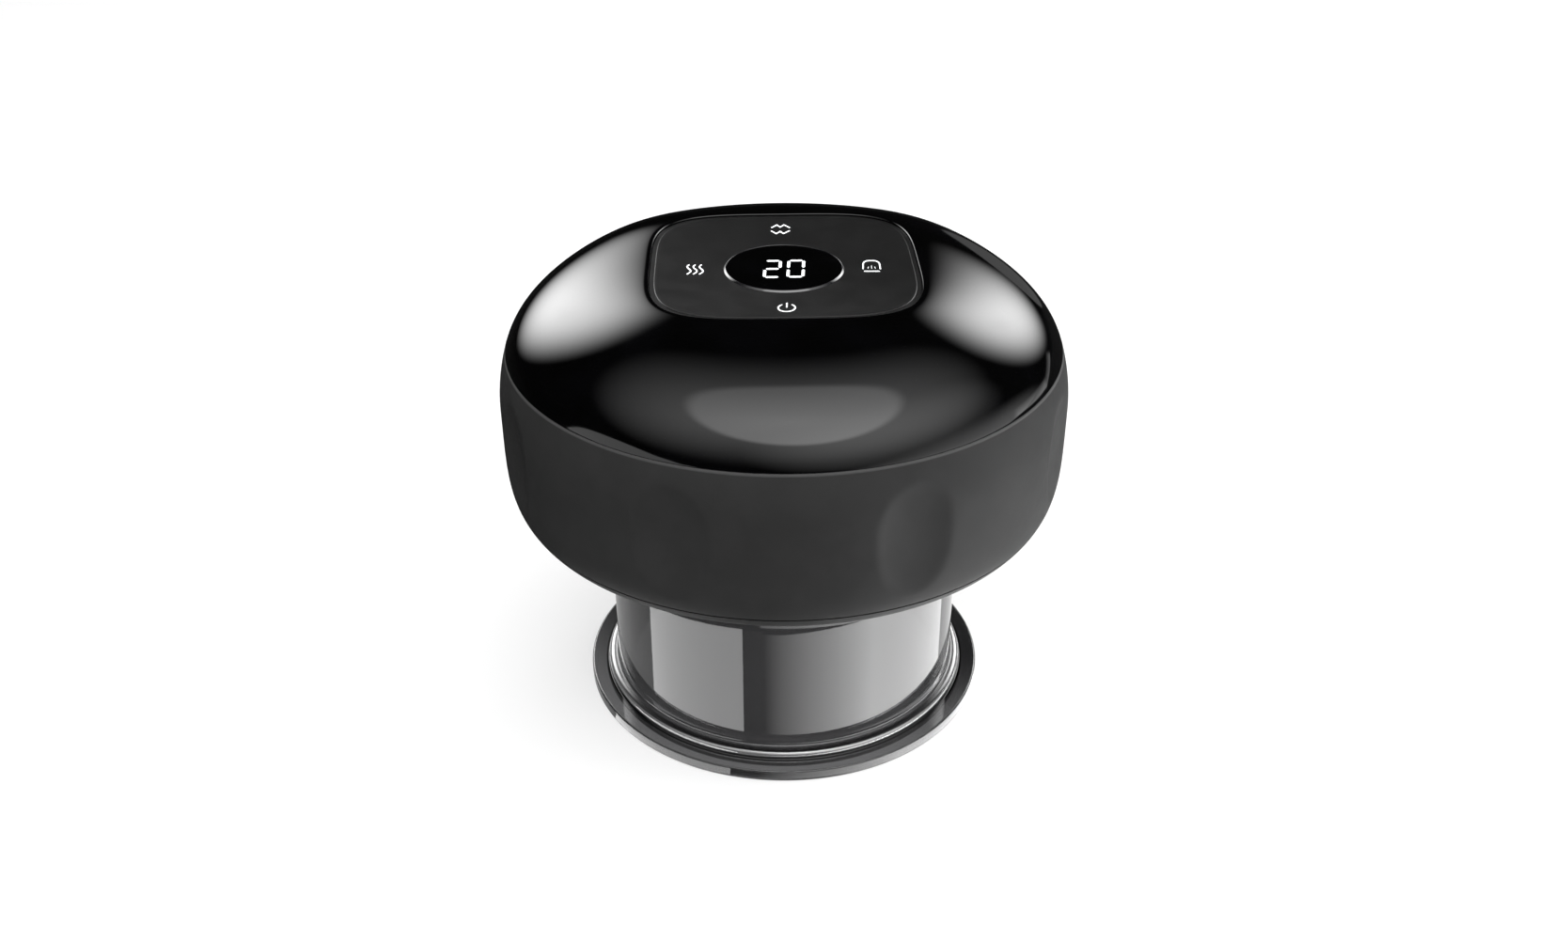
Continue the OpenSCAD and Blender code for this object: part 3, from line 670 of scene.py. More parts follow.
@dataclass(frozen=True)
class PaintedLightBand:
    """A ring of a revolved clear piece whose own colour and metallic share are painted highlight and painted
    shade, in millimetres.
    """

    colour: str
    inner_r: float
    outer_r: float
    low_z: float
    high_z: float
    # painted highlight and shade: a metallic share, and a second colour on the side away from where the band
    # faces
    painted_shine: float = 0.0
    away: str = ""
    facing: float = 0.0
    ease: float = 0.15
    turn_start: float = -0.2
    turn_end: float = 0.8

    def share(self, graph: Graph) -> Value:
        """How far a point belongs to the band.

        Args:
            graph: the material's graph.

        Returns:
            1 inside the band and 0 outside it, eased over its border.
        """
        radius, height = graph.radius() / MM, graph.axes()[2] / MM
        inside = radius.step(self.inner_r - self.ease, self.inner_r)
        inside *= height.step(self.low_z - self.ease, self.low_z)
        past = radius.step(self.outer_r, self.outer_r + self.ease)
        past = past.at_least(height.step(self.high_z, self.high_z + self.ease))
        return inside * (1 - past)

    def tint_and_painted_light(self, graph: Graph) -> Paint:
        """The band's painted colour, which may change from the side it faces to the side away from it,
        painting one side lighter and the other darker.

        Args:
            graph: the material's graph.

        Returns:
            One colour, or the socket of a changing one.
        """
        if not self.away:
            return srgb(self.colour)
        x, y, _ = graph.axes()
        way = direction(self.facing, 0)
        along = (x * way.x + y * way.y) / graph.radius()
        return graph.blend(along.step(self.turn_start, self.turn_end), srgb(self.away), srgb(self.colour))


@dataclass(frozen=True)
class SmokeFinish(Finish):
    """Clear smoked plastic: tinted all through, polished, with faint flow marks and bands of painted
    highlight and painted shade.
    """

    bands: tuple[PaintedLightBand, ...] = ()

    def sockets(self, graph: Graph) -> dict:
        """Replaces colour and gloss by slow flow marks and the bands of painted highlight and shade.

        Args:
            graph: the material's graph.

        Returns:
            Values and links by socket name.
        """
        flow = graph.noise(self.size, detail=2.0, stretch=(1, 1, 0.15))
        tint_and_painted_light = graph.blend(flow.step(0.25, 0.75), srgb(self.colour), srgb(self.shade))
        painted_shine = 0.0
        for band in self.bands:
            # each band paints highlight and shade into the colour and the metallic share
            share = band.share(graph)
            tint_and_painted_light = graph.blend(share, tint_and_painted_light, band.tint_and_painted_light(graph))
            painted_shine = share * band.painted_shine + painted_shine if band.painted_shine else painted_shine
        return {
            "Base Color": tint_and_painted_light,
            "Metallic": painted_shine,
            "Roughness": self.roughness + flow * self.swing,
            "Normal": graph.bump(flow, self.depth),
            "IOR": self.ior,
            "Transmission Weight": self.transmission,
            "Coat Weight": self.coat,
        }


GLOSS = Finish("gloss_black", "#020202", "#040405", Pattern.POLISH, 14.0, 0.06, 0.04, 0.0004)
GRIP = GripFinish("grip_matte", "#2c2c2c", "#303030", Pattern.GRAIN, 0.16, 0.6, 0.12, 0.01, specular=0.05)
SMOKE = SmokeFinish("cup_smoke", "#3e3e3f", "#464647", Pattern.POLISH, 9.0, 0.02, 0.01, 0.0001, ior=1.585,
                    transmission=0.9, bands=(
                        # painted highlight: pale colour and metallic share on the bead's outer face
                        PaintedLightBand("#e4e4e4", 33.3, 34.2, 2.84, 3.36, 0.26),
                        # painted shade on the bead's crown at the front, painted highlight with metallic
                        # share towards the sides and back
                        PaintedLightBand("#161616", 32.9, 34.0, 3.54, 3.75, 0.25, "#e4e4e4"),
                        # painted shade: near-black in the crease at the bead's foot
                        PaintedLightBand("#0a0a0a", 33.9, 34.6, -0.5, 2.55),
                        # painted light and shade: pale flange, lighter towards the front, darker towards the
                        # back and sides
                        PaintedLightBand("#7a7a7b", 34.75, 38.0, -0.5, 2.6, 0.0, "#2e2e2f", -15.0),
                    ))
PANEL = PanelFinish("panel_satin", "#1d1d1d", "#212121", Pattern.GRAIN, 0.1, 0.34, 0.08, 0.004, specular=0.22)
BRIGHT = Finish("ring_bright", "#161617", "#202022", Pattern.BRUSHED, 0.3, 0.08, 0.05, 0.001, ior=1.9)
LENS = Finish("lens_black", "#020202", "#040405", Pattern.POLISH, 8.0, 0.04, 0.03, 0.0003)
GLOW = Finish("symbol_white", "#f2f4f5", "#e6e9eb", Pattern.GRAIN, 0.2, 0.5, 0.1, 0.002, glow=0.9)

SLOTS: dict[str, Finish] = {
    "cup_smoke": SMOKE,
    "housing_matte": GRIP,
    "cover_gloss": GLOSS,
    "panel_satin": PANEL,
    "ring_bright": BRIGHT,
    "lens_black": LENS,
}
SLOTS |= {finish.name: finish for finish in (
    Finish("display_dark", "#141516", "#1d1e20", Pattern.GRAIN, 0.2, 0.45),
    Finish("board_green", "#14472c", "#2c7548", Pattern.TRACKS, 2.2, 0.35, 0.1, 0.03, coat=0.3),
    Finish("foam_dark", "#2e2e30", "#151516", Pattern.PORES, 0.5, 0.9, 0.1, 0.12),
    Finish("cable_flat", "#c9c3b1", "#a8a291", Pattern.BRUSHED, 0.6, 0.4),
    Finish("seal_red", "#8d2f2a", "#76241f", Pattern.GRAIN, 0.25, 0.55, 0.1, 0.01),
    Finish("plate_aluminium", "#c6c8cb", "#aeb1b5", Pattern.TURNED, 0.7, 0.28, 0.12, 0.004, metallic=1.0),
    Finish("film_amber", "#b5792c", "#7a4a16", Pattern.TRACKS, 3.0, 0.3, 0.1, 0.02, coat=0.4),
    Finish("pad_felt", "#d9d4c4", "#b9b29e", Pattern.FIBRES, 0.8, 0.95, 0.05, 0.12),
    Finish("board_white", "#e6e6e2", "#c9cac4", Pattern.TRACKS, 2.6, 0.4, 0.1, 0.02),
    Finish("lamp_red", "#e2574a", "#c2281e", Pattern.PORES, 0.9, 0.2, 0.1, 0.01, coat=0.6, glow=0.15),
    SmokeFinish("window_red", "#c02a20", "#9c1d16", Pattern.POLISH, 6.0, 0.08, 0.04, 0.002, ior=1.49,
                transmission=0.85),
    Finish("moulding_grey", "#4a4c4f", "#5a5d61", Pattern.GRAIN, 0.2, 0.5, 0.12, 0.012),
    Finish("filter_grey", "#b2b3af", "#74756f", Pattern.PORES, 0.25, 0.8, 0.1, 0.08),
    Finish("screw_steel", "#a3a5a8", "#7c7e82", Pattern.BRUSHED, 0.25, 0.3, 0.15, metallic=1.0),
    Finish("cell_sleeve", "#2f6fa8", "#285f92", Pattern.POLISH, 5.0, 0.3, 0.1, 0.01, coat=0.3),
    Finish("strip_nickel", "#c9c7bd", "#a9a79c", Pattern.BRUSHED, 0.3, 0.3, 0.1, metallic=1.0),
    Finish("socket_shell", "#bfc1c4", "#9a9ca0", Pattern.BRUSHED, 0.2, 0.25, 0.1, 0.002, metallic=1.0),
    Finish("motor_steel", "#9fa2a6", "#83868a", Pattern.BRUSHED, 0.4, 0.34, 0.12, metallic=1.0),
    Finish("cap_ivory", "#e4e1d6", "#d3cfc1", Pattern.GRAIN, 0.2, 0.45),
    Finish("magnet_dark", "#3b3835", "#4d4945", Pattern.GRAIN, 0.3, 0.7, 0.1, 0.02),
    Finish("rotor_copper", "#8a6a48", "#5e4630", Pattern.WOUND, 0.6, 0.35, 0.1, 0.05, metallic=0.8),
    Finish("hose_silicone", "#c9ccce", "#b7babd", Pattern.GRAIN, 0.4, 0.35, transmission=0.3),
    Finish("lead_red", "#a83232", "#8c2626", Pattern.GRAIN, 0.2, 0.4),
    Finish("coil_copper", "#b5652c", "#7e4119", Pattern.WOUND, 0.35, 0.32, 0.1, 0.05, metallic=0.9),
    Finish("rubber_black", "#1c1c1c", "#252525", Pattern.GRAIN, 0.3, 0.7, 0.1, 0.02),
)}


def settle(piece: bpy.types.Object, finish: Finish, body: str, slot: str, *nodes: str) -> None:
    """Dresses a piece, sets it on its body and lets it stand for CAD nodes.

    Args:
        piece: the new piece.
        finish: its finish.
        body: the body that carries it.
        slot: the record's material slot; not used.
        nodes: the nodes that it stands for.
    """
    finish.dress(piece)
    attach(piece, body)
    if nodes:
        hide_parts(*nodes)
    LOG.info("%s: %d faces on %s", piece.name, len(piece.data.polygons), body)


# The head's outline, in millimetres


@dataclass
class HeadOutline:
    """Curves that the head's shells share."""

    head_r: float = 50.0
    waist_z: float = 59.5
    seam_z: float = 69.2
    seam_r: float = 48.4
    top_z: float = 83.0
    base_z: float = 38.6
    belly_r: float = 33.0
    belly_power: float = 4.9
    panel_half: float = 22.8
    panel_power: float = 4.0
    part_u: float = 0.62
    base_u: float = 0.64
    rebate_r: float = 46.4
    ledge_z: float = 42.0
    segments: int = 288

    def shoulder_r(self, z: float) -> float:
        """Radius between the widest ring and the seam."""
        share = (z - self.waist_z) / (self.seam_z - self.waist_z)
        return self.head_r - (self.head_r - self.seam_r) * share ** 2

    def belly(self, u: float) -> Point:
        """Point of the lower curve.

        Args:
            u: 0 at the widest ring and 1 at the cup's slot.

        Returns:
            Its radius and height.
        """
        a = math.pi / 2 * u * u
        share = 2 / self.belly_power
        radius = self.belly_r + (self.head_r - self.belly_r) * max(0.0, math.cos(a)) ** share
        return radius, self.waist_z - (self.waist_z - self.base_z) * math.sin(a) ** share

    def square_r(self, angle: float) -> float:
        """Radius of the panel's rounded square of half width 1."""
        power = self.panel_power
        return (abs(math.cos(angle)) ** power + abs(math.sin(angle)) ** power) ** (-1 / power)

    def ring(self, half: float, add: float, z: float) -> Ring:
        """Rounded square of the given half width, grown by add, at a height.

        Args:
            half: half width of the square part.
            add: radius added all round.
            z: height.

        Returns:
            The closed ring.
        """
        turns = [2 * math.pi * i / self.segments for i in range(self.segments)]
        radii = [half * self.square_r(a) + add for a in turns]
        return [Vector((r * math.cos(a), r * math.sin(a), z)) for r, a in zip(radii, turns)]


@dataclass
class GlossCover:
    """Gloss black cover: a loft from the panel's rounded square to the round seam."""

    outline: HeadOutline
    margin: float = 0.8
    gap: float = 0.12
    lead_in: float = 0.2
    shelf_z: float = 80.2
    shelf_w: float = 2.0
    shelf_t: float = 1.7
    lip_r: float = 46.3
    lip_t: float = 1.7
    lip_h: float = 3.4
    pull: float = 0.03
    rise: float = 0.885
    foot_edge: tuple[Point, ...] = ((0.06, 0.15), (0.09, 0.07), (0.15, 0.02), (0.23, 0.0))
    last_t: float = 0.992
    steps: int = 48
    under_steps: int = 12

    def dome(self, t: float, half: float, edge_z: float, foot_r: float) -> Station:
        """Station of the dome.

        Args:
            t: 0 at the square edge and 1 at the round foot.
            half: half width of the square edge.
            edge_z: its height.
            foot_r: radius of the foot at the seam's height.

        Returns:
            Half width, added radius and height of the ring.
        """
        o = self.outline
        b0, b1, b2, b3 = (1 - t) ** 3, 3 * t * (1 - t) ** 2, 3 * t * t * (1 - t), t ** 3
        slope = -2 * (o.head_r - o.seam_r) / (o.seam_z - o.waist_z)
        z2 = o.seam_z + self.rise * (edge_z - o.seam_z)
        r2 = foot_r + slope * (z2 - o.seam_z)
        return (
            half * (b0 + b1 * (1 - self.pull)),
            foot_r * (b1 * self.pull + b3) + r2 * b2,
            edge_z * (b0 + b1) + z2 * b2 + o.seam_z * b3,
        )

    def stations(self) -> list[Station]:
        """Rings from the panel's recess over the dome to the lip and back inside.

        Returns:
            Half width, added radius and height of each ring.
        """
        o, n = self.outline, self.under_steps
        recess, outer = o.panel_half + self.gap, o.panel_half + self.margin
        inner_r, shelf = self.lip_r - self.lip_t, o.panel_half - self.shelf_w
        roof_z, lip_z = self.shelf_z - self.shelf_t, o.seam_z - self.lip_h
        corner = (recess + self.lead_in, o.top_z - self.lead_in)
        edge = [(x, 0.0, z) for x, z in arc(corner, self.lead_in, 180, 90, 6)]
        places = [*(k / self.steps for k in range(self.steps)), self.last_t]
        over = [self.dome(t, outer, o.top_z, o.seam_r) for t in places]
        foot = [(0.0, o.seam_r - back, o.seam_z + up) for back, up in self.foot_edge]
        lip = [(0.0, self.lip_r, o.seam_z), (0.0, self.lip_r, lip_z), (0.0, inner_r, lip_z)]
        under = [self.dome(k / n, shelf, roof_z, inner_r) for k in range(n, -1, -1)]
        return [*edge, *over, *foot, *lip, *under, (shelf, 0.0, self.shelf_z), (recess, 0.0, self.shelf_z)]

    def build(self) -> None:
        """Makes the cover in place of its CAD node."""
        piece = loft("gloss_cover", [self.outline.ring(*s) for s in self.stations()])
        settle(piece, GLOSS, HEAD, "cover_gloss", "top_cover")


@dataclass
class GripHousing:
    """Matte grip band with finger dimples, and the slot of the charging inlet at the back."""

    outline: HeadOutline
    dimples: int = 8
    dimple_w: float = 13.0
    dimple_h: float = 18.5
    dimple_depth: float = 1.3
    dimple_drop: float = 3.2
    dimple_fade: float = 2.0
    soft_edge: float = 0.3
    wall: float = 2.0
    inner_u: float = 0.68
    rim_r: float = 46.45
    rim_h: float = 2.4
    rim_lead: float = 0.6
    ledge_in_r: float = 38.5
    ledge_t: float = 2.0
    lip_w: float = 0.1
    lip_h: float = 0.05
    edge: float = 0.35
    inlet_in: float = 39.0
    inlet_gap: float = 0.33
    flare_gap: float = 1.5
    flare_sink: float = 0.75
    flare_out: float = 0.6
    sharp: float = 40.0
    segments: int = 576
    shoulder_n: int = 24
    belly_n: int = 84
    inner_n: int = 24

    def dimple_r(self, angle: float, z: float) -> float:
        """Radius at which the nearest dimple's barrel cuts the wall.

        Args:
            angle: turn about the axis.
            z: height.

        Returns:
            That radius, or one beyond the wall where there is no dimple.
        """
        o = self.outline
        half_w, half_h = self.dimple_w / 2, self.dimple_h / 2
        sag_w, sag_h = self.dimple_depth - half_w ** 2 / (2 * o.head_r), self.dimple_depth / 2
        barrel_r = (half_w ** 2 + sag_w ** 2) / (2 * sag_w)
        arc_r = (half_h ** 2 + sag_h ** 2) / (2 * sag_h)
        far = o.head_r - self.dimple_depth + barrel_r
        off_z = z - (o.waist_z - self.dimple_drop)
        pitch = 2 * math.pi / self.dimples
        off_a = angle % pitch - pitch / 2
        beyond = o.head_r * 2
        if abs(off_z) > half_h + self.dimple_fade:
            return beyond
        radius = barrel_r - arc_r + math.sqrt(arc_r ** 2 - off_z ** 2)
        inside = radius ** 2 - (far * math.sin(off_a)) ** 2
        return far * math.cos(off_a) - math.sqrt(inside) if inside > 0 else beyond

    def outer_ring(self, radius: float, z: float) -> Ring:
        """Ring of the outer wall with the dimples pressed in.

        Args:
            radius: the plain wall's radius.
            z: height.

        Returns:
            The ring.
        """
        ring = []
        for i in range(self.segments):
            angle = 2 * math.pi * i / self.segments
            cut = self.dimple_r(angle, z)
            ease = max(self.soft_edge - abs(radius - cut), 0.0) / self.soft_edge
            r = min(radius, cut) - ease * ease * self.soft_edge / 4
            ring.append(Vector((r * math.cos(angle), r * math.sin(angle), z)))
        return ring

    def rings(self) -> list[Ring]:
        """Rings down the outer wall and back up inside.

        Returns:
            The rings in order.
        """
        o = self.outline
        low_z = o.seam_z - self.edge
        top = arc((o.shoulder_r(low_z) - self.edge, low_z), self.edge, 90, 0, 6)
        heights = [low_z + (o.waist_z - low_z) * k / self.shoulder_n for k in range(1, self.shoulder_n)]
        outer = [*top, *((o.shoulder_r(z), z) for z in heights)]
        outer += [o.belly(o.part_u * k / self.belly_n) for k in range(self.belly_n + 1)]
        last_r, last_z = outer[-1]
        lip_z, shelf_z = last_z - self.lip_h, o.ledge_z + self.ledge_t
        inside = [(last_r - self.lip_w, lip_z), (o.rebate_r, lip_z), (o.rebate_r, o.ledge_z)]
        inside += [(self.ledge_in_r, o.ledge_z), (self.ledge_in_r, shelf_z)]
        for k in range(self.inner_n, -1, -1):
            r, z = o.belly(self.inner_u * k / self.inner_n)
            inside.append((r - self.wall, max(z, shelf_z)))
        step_z = o.seam_z - self.rim_h
        inside.append((o.shoulder_r(step_z) - self.wall, step_z - self.rim_lead))
        inside += [(self.rim_r, step_z), (self.rim_r, o.seam_z)]
        return [self.outer_ring(*p) for p in outer] + [round_ring(r, z, self.segments) for r, z in inside]

    def inlet_cutter(self) -> bpy.types.Object:
        """Flared slot with round ends, where the charging socket shows.

        Returns:
            The solid that the wall loses.
        """
        low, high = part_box("usb_socket")
        width, height = (high.x - low.x) / MM, (high.z - low.z) / MM
        mid_z = (high.z + low.z) / 2 / MM
        stretch, head_r = (width - height) / 2, self.outline.head_r
        mouths = [
            (self.inlet_in, self.inlet_gap),
            (head_r - self.flare_sink, self.inlet_gap),
            (head_r + self.flare_out, self.flare_gap),
        ]
        rings = []
        for y, grow in mouths:
            r = height / 2 + grow
            right = [(stretch + x, z) for x, z in arc((0, 0), r, -90, 90, 16)]
            left = [(x - stretch, z) for x, z in arc((0, 0), r, 90, 270, 16)]
            rings.append([Vector((x, y, mid_z + z)) for x, z in right + left])
        return skin("inlet_cutter", rings, Ends.CAPPED)

    def build(self) -> None:
        """Makes the housing in place of its CAD node."""
        piece = loft("grip_housing", self.rings())
        cutter = self.inlet_cutter()
        piece.modifiers.clear()
        cut = piece.modifiers.new("inlet", "BOOLEAN")
        cut.object = cutter
        cut.solver = "EXACT"
        shaped = piece.evaluated_get(bpy.context.evaluated_depsgraph_get())
        piece.data = bpy.data.meshes.new_from_object(shaped)
        piece.modifiers.clear()
        bpy.data.objects.remove(cutter)
        polish(piece, self.sharp)
        settle(piece, GRIP, HEAD, "housing_matte", "lower_housing")


@dataclass
class SuctionCup:
    """Smoked cup: tube, concave fillet, bead and flange outside, flared mouth inside."""

    tube_r: float = 32.2
    wall: float = 2.5
    flange_r: float = 37.4
    flange_t: float = 2.2
    top_z: float = 45.0
    fillet: float = 0.7
    bead_r: float = 1.1
    bead_out: float = 0.8
    bead_up: float = 0.4
    crease: float = 0.2
    mouth_r: float = 3.0
    edge: float = 0.4
    wall_h: float = 37.0
    wall_n: int = 12
    segments: int = 256

    def section(self) -> list[Point]:
        """Closed section from the bore's top round the foot to the tube's top.

        Returns:
            Radius and height of each corner.
        """
        bore, e, n = self.tube_r - self.wall, self.edge, self.wall_n
        bead_x, bead_z = self.tube_r + self.bead_out, self.flange_t + self.bead_up
        bead_top, crease = bead_z + self.bead_r, self.crease
        return [
            *arc((bore + e, self.top_z - e), e, 90, 180, 5),
            *[(bore, self.top_z + (self.mouth_r - self.top_z) * k / n) for k in range(1, n)],
            *arc((bore + self.mouth_r, self.mouth_r), self.mouth_r, 180, 270, 14),
            *arc((self.flange_r - e, e), e, 270, 360, 6),
            *arc((self.flange_r - e, self.flange_t - e), e, 0, 90, 6),
            *arc((bead_x + self.bead_r + crease, self.flange_t + crease), crease, 270, 180, 5),
            *arc((bead_x, bead_z), self.bead_r, 0, 90, 12),
            *arc((self.tube_r + self.fillet, bead_top + self.fillet), self.fillet, 270, 180, 12),
            *[(self.tube_r, bead_top + self.fillet + self.wall_h * k / n) for k in range(1, n)],
            *arc((self.tube_r - e, self.top_z - e), e, 0, 90, 5),
        ]

    def build(self) -> None:
        """Makes the cup in place of its CAD node."""
        piece = revolve("smoked_cup", self.section(), self.segments)
        settle(piece, SMOKE, CUP, "cup_smoke", "suction_cup")


@dataclass
class BaseCover:
    """Underside cover with the slot for the cup and the sealed neck."""

    outline: HeadOutline
    slot_out_r: float = 32.5
    slot_in_r: float = 29.4
    slot_top_z: float = 45.0
    deck_r: float = 34.7
    deck_z: float = 47.0
    groove_r: float = 27.9
    groove_low_z: float = 40.5
    groove_high_z: float = 42.5
    neck_in_r: float = 25.0
    window_r: float = 26.0
    window_top_z: float = 40.0
    port_r: float = 2.6
    slack: float = 0.15
    edge: float = 0.25
    slot_lead: float = 0.4
    lip_w: float = 0.1
    lip_h: float = 0.06
    curve_n: int = 60
    segments: int = 256

    def section(self) -> list[Point]:
        """Closed section from the port over the neck and slot to the parting edge and the deck.

        Returns:
            Radius and height of each corner.
        """
        o, e, n = self.outline, self.edge, self.curve_n
        curve = [o.belly(o.base_u + (1 - o.base_u) * k / n) for k in range(n, -1, -1)]
        rim_r, rim_z = curve[-1]
        lip_z, rebate_r = rim_z + self.lip_h, o.rebate_r + self.slack
        return [
            (self.port_r, self.slot_top_z), (self.neck_in_r, self.slot_top_z),
            (self.neck_in_r, self.window_top_z), (self.window_r, self.window_top_z),
            *arc((self.window_r + e, o.base_z + e), e, 180, 270, 4),
            *arc((self.slot_in_r - e, o.base_z + e), e, 270, 360, 4),
            (self.slot_in_r, self.groove_low_z), (self.groove_r, self.groove_low_z),
            (self.groove_r, self.groove_high_z), (self.slot_in_r, self.groove_high_z),
            (self.slot_in_r, self.slot_top_z), (self.slot_out_r, self.slot_top_z),
            (self.slot_out_r, o.base_z + self.slot_lead), *curve,
            (rim_r - self.lip_w, lip_z), (rebate_r, lip_z), (rebate_r, o.ledge_z),
            (self.deck_r, o.ledge_z), (self.deck_r, self.deck_z), (self.port_r, self.deck_z),
        ]

    def build(self) -> None:
        """Makes the cover in place of its CAD node."""
        piece = revolve("base_shell", self.section(), self.segments)
        settle(piece, GRIP, HEAD, "housing_matte", "base_cover")


@dataclass
class Symbol:
    """A symbol of pen strokes in a unit square, stretched to its size on the panel."""

    name: str
    centre: Point
    width: float
    depth: float
    pen: float
    strokes: list[list[Point]]
    lean: float = 0.0
    slant: float = 0.05
    mitre: float = 0.5
    cap_angles: tuple[float, ...] = (35, 65, 85)

    def solids(self, lift: Callable[[float, float], float], above: float) -> tuple[list[Vector], list[tuple]]:
        """Thin solid of each stroke on the surface that carries it.

        Args:
            lift: height of the carrying surface at a place.
            above: how far the symbol stands over it.

        Returns:
            Points and faces.
        """
        points: list[Vector] = []
        faces: list[tuple] = []
        for stroke in self.strokes:
            pairs = self.edges(stroke)
            first, count = len(points), len(pairs)
            for left, right in pairs:
                for u, v in (left, right):
                    x = self.centre[0] + u * self.width + v * self.depth * self.slant
                    y = self.centre[1] + v * self.depth + u * self.lean
                    z = lift(x, y)
                    points += [Vector((x, y, z + above)), Vector((x, y, z - above))]
            for k in range(count - 1):
                a, b = first + 4 * k, first + 4 * (k + 1)
                faces += [(a, b, b + 2, a + 2), (a + 1, a + 3, b + 3, b + 1)]
                faces += [(a, a + 1, b + 1, b), (a + 2, b + 2, b + 3, a + 3)]
            for k in (first, first + 4 * (count - 1)):
                faces.append((k, k + 2, k + 3, k + 1))
        return points, faces

    def edges(self, stroke: list[Point]) -> list[tuple[Point, Point]]:
        """Left and right edge of a stroke, with its two ends rounded.

        Args:
            stroke: the pen's path.

        Returns:
            Pairs of edge points along the path.
        """
        path = [Vector(p) for p in stroke]
        half = self.pen / 2
        pairs = []
        for k, here in enumerate(path):
            before = (here - path[k - 1]).normalized() if k else (path[1] - here).normalized()
            after = (path[k + 1] - here).normalized() if k + 1 < len(path) else before
            along = (before + after).normalized()
            across = Vector((-along.y, along.x)) * half / max(self.mitre, along.dot(after))
            pairs.append((here + across, here - across))
        for end, inner in ((0, 1), (len(path) - 1, len(path) - 2)):
            outwards = (path[end] - path[inner]).normalized()
            across = Vector((-outwards.y, outwards.x)) * (1 if end else -1)
            caps = []
            for a in map(math.radians, self.cap_angles):
                tip, side = path[end] + outwards * (math.sin(a) * half), across * (math.cos(a) * half)
                caps.append((tip + side, tip - side))
            pairs = [*pairs, *caps] if end else [*reversed(caps), *pairs]
        return pairs

    def build(self, lift: Callable[[float, float], float], above: float = 0.03) -> None:
        """Makes the lit symbol on the panel."""
        piece = make_object(self.name, *self.solids(lift, above))
        settle(piece, GLOW, HEAD, "ring_bright")


@dataclass
class TouchPanel:
    """Dished touch panel with a rounded square outline and its four lit symbols."""

    outline: HeadOutline
    face_z: float = 82.8
    dish: float = 1.2
    edge: float = 0.16
    border: float = 0.75
    hole_r: float = 10.15
    low_z: float = 80.2
    key_x: float = 15.0
    key_y: float = 16.4
    pen: float = 0.08
    fine_share: float = 0.4
    steps: int = 24

    def inner_half(self) -> float:
        """Half width of the dished face, inside its rounded edge and the sunk border."""
        return self.outline.panel_half - self.border - self.edge

    def face(self, x: float, y: float) -> float:
        """Height of the dished face.

        Args:
            x: place to the right of the middle.
            y: place behind the middle.

        Returns:
            The height there.
        """
        angle = math.atan2(y, x)
        reach = self.inner_half() * self.outline.square_r(angle)
        return self.height((math.hypot(x, y) - self.hole_r) / (reach - self.hole_r))

    def height(self, u: float) -> float:
        """Height of the face from the display's hole at 0 to the edge at 1."""
        share = u + (1 - u) * self.hole_r / self.outline.panel_half
        return self.face_z - self.dish * (1 - share * share)

    def plate(self) -> bpy.types.Object:
        """The plate itself.

        Returns:
            The smooth-shaded object.
        """
        o, e, n = self.outline, self.edge, self.steps
        inner = self.inner_half()
        stations = [(inner * k / n, self.hole_r * (1 - k / n), self.height(k / n)) for k in range(n + 1)]
        stations += [(inner + x, 0.0, self.face_z - e + z) for x, z in arc((0, 0), e, 75, 0, 5)]
        stations.append((o.panel_half, 0.0, self.face_z - e))
        stations += [(o.panel_half, 0.0, self.low_z), (0.0, self.hole_r, self.low_z)]
        return loft("panel_plate", [o.ring(*s) for s in stations])

    def symbols(self) -> list[Symbol]:
        """Waves, heat, suction and power, as generic signs.

        Returns:
            The signs, suction in two pens.
        """
        wave = [(-0.5, 0.2), (-0.22, 0.48), (-0.02, 0.24), (0.18, 0.48), (0.5, 0.18)]
        waves = [wave, [(x, -y) for x, y in wave]]
        rise = [(-0.12 * math.sin(2 * math.pi * (k / 16 + 0.06)), 0.5 - k / 16) for k in range(17)]
        heat = [[(x + dx, y) for x, y in rise] for dx in (-0.34, 0.0, 0.34)]
        bends = [*arc((-0.14, 0.12), 0.34, 176, 90, 6), *arc((0.14, 0.12), 0.34, 90, 4, 6)]
        bell = [[(-0.5, -0.28), *bends, (0.5, -0.28)], [(-0.42, -0.5), (0.42, -0.5)]]
        marks = [[(x, -0.24), (x * 0.8, y)] for x, y in ((-0.22, -0.1), (0.0, 0.0), (0.22, -0.1))]
        power = [arc((0, -0.06), 0.46, 128, 412, 40), [(0, 0.5), (0, 0.02)]]
        pen, fine = self.pen, self.pen * self.fine_share
        return [
            Symbol("symbol_waves", (-0.1, self.key_y + 0.6), 3.2, 3.6, pen, waves),
            Symbol("symbol_heat", (-self.key_x - 0.2, -0.75), 3.05, 4.0, pen, heat, 0.42),
            Symbol("symbol_suction", (self.key_x, 0.0), 2.9, 4.8, pen, bell, -0.62),
            Symbol("symbol_suction_marks", (self.key_x, 0.0), 2.9, 4.8, fine, marks, -0.62),
            Symbol("symbol_power", (-0.1, -self.key_y - 0.85), 3.0, 4.0, pen, power),
        ]

    def build(self) -> None:
        """Makes plate and symbols in place of the CAD node."""
        settle(self.plate(), PANEL, HEAD, "panel_satin", "touch_panel")
        for symbol in self.symbols():
            symbol.build(self.face)


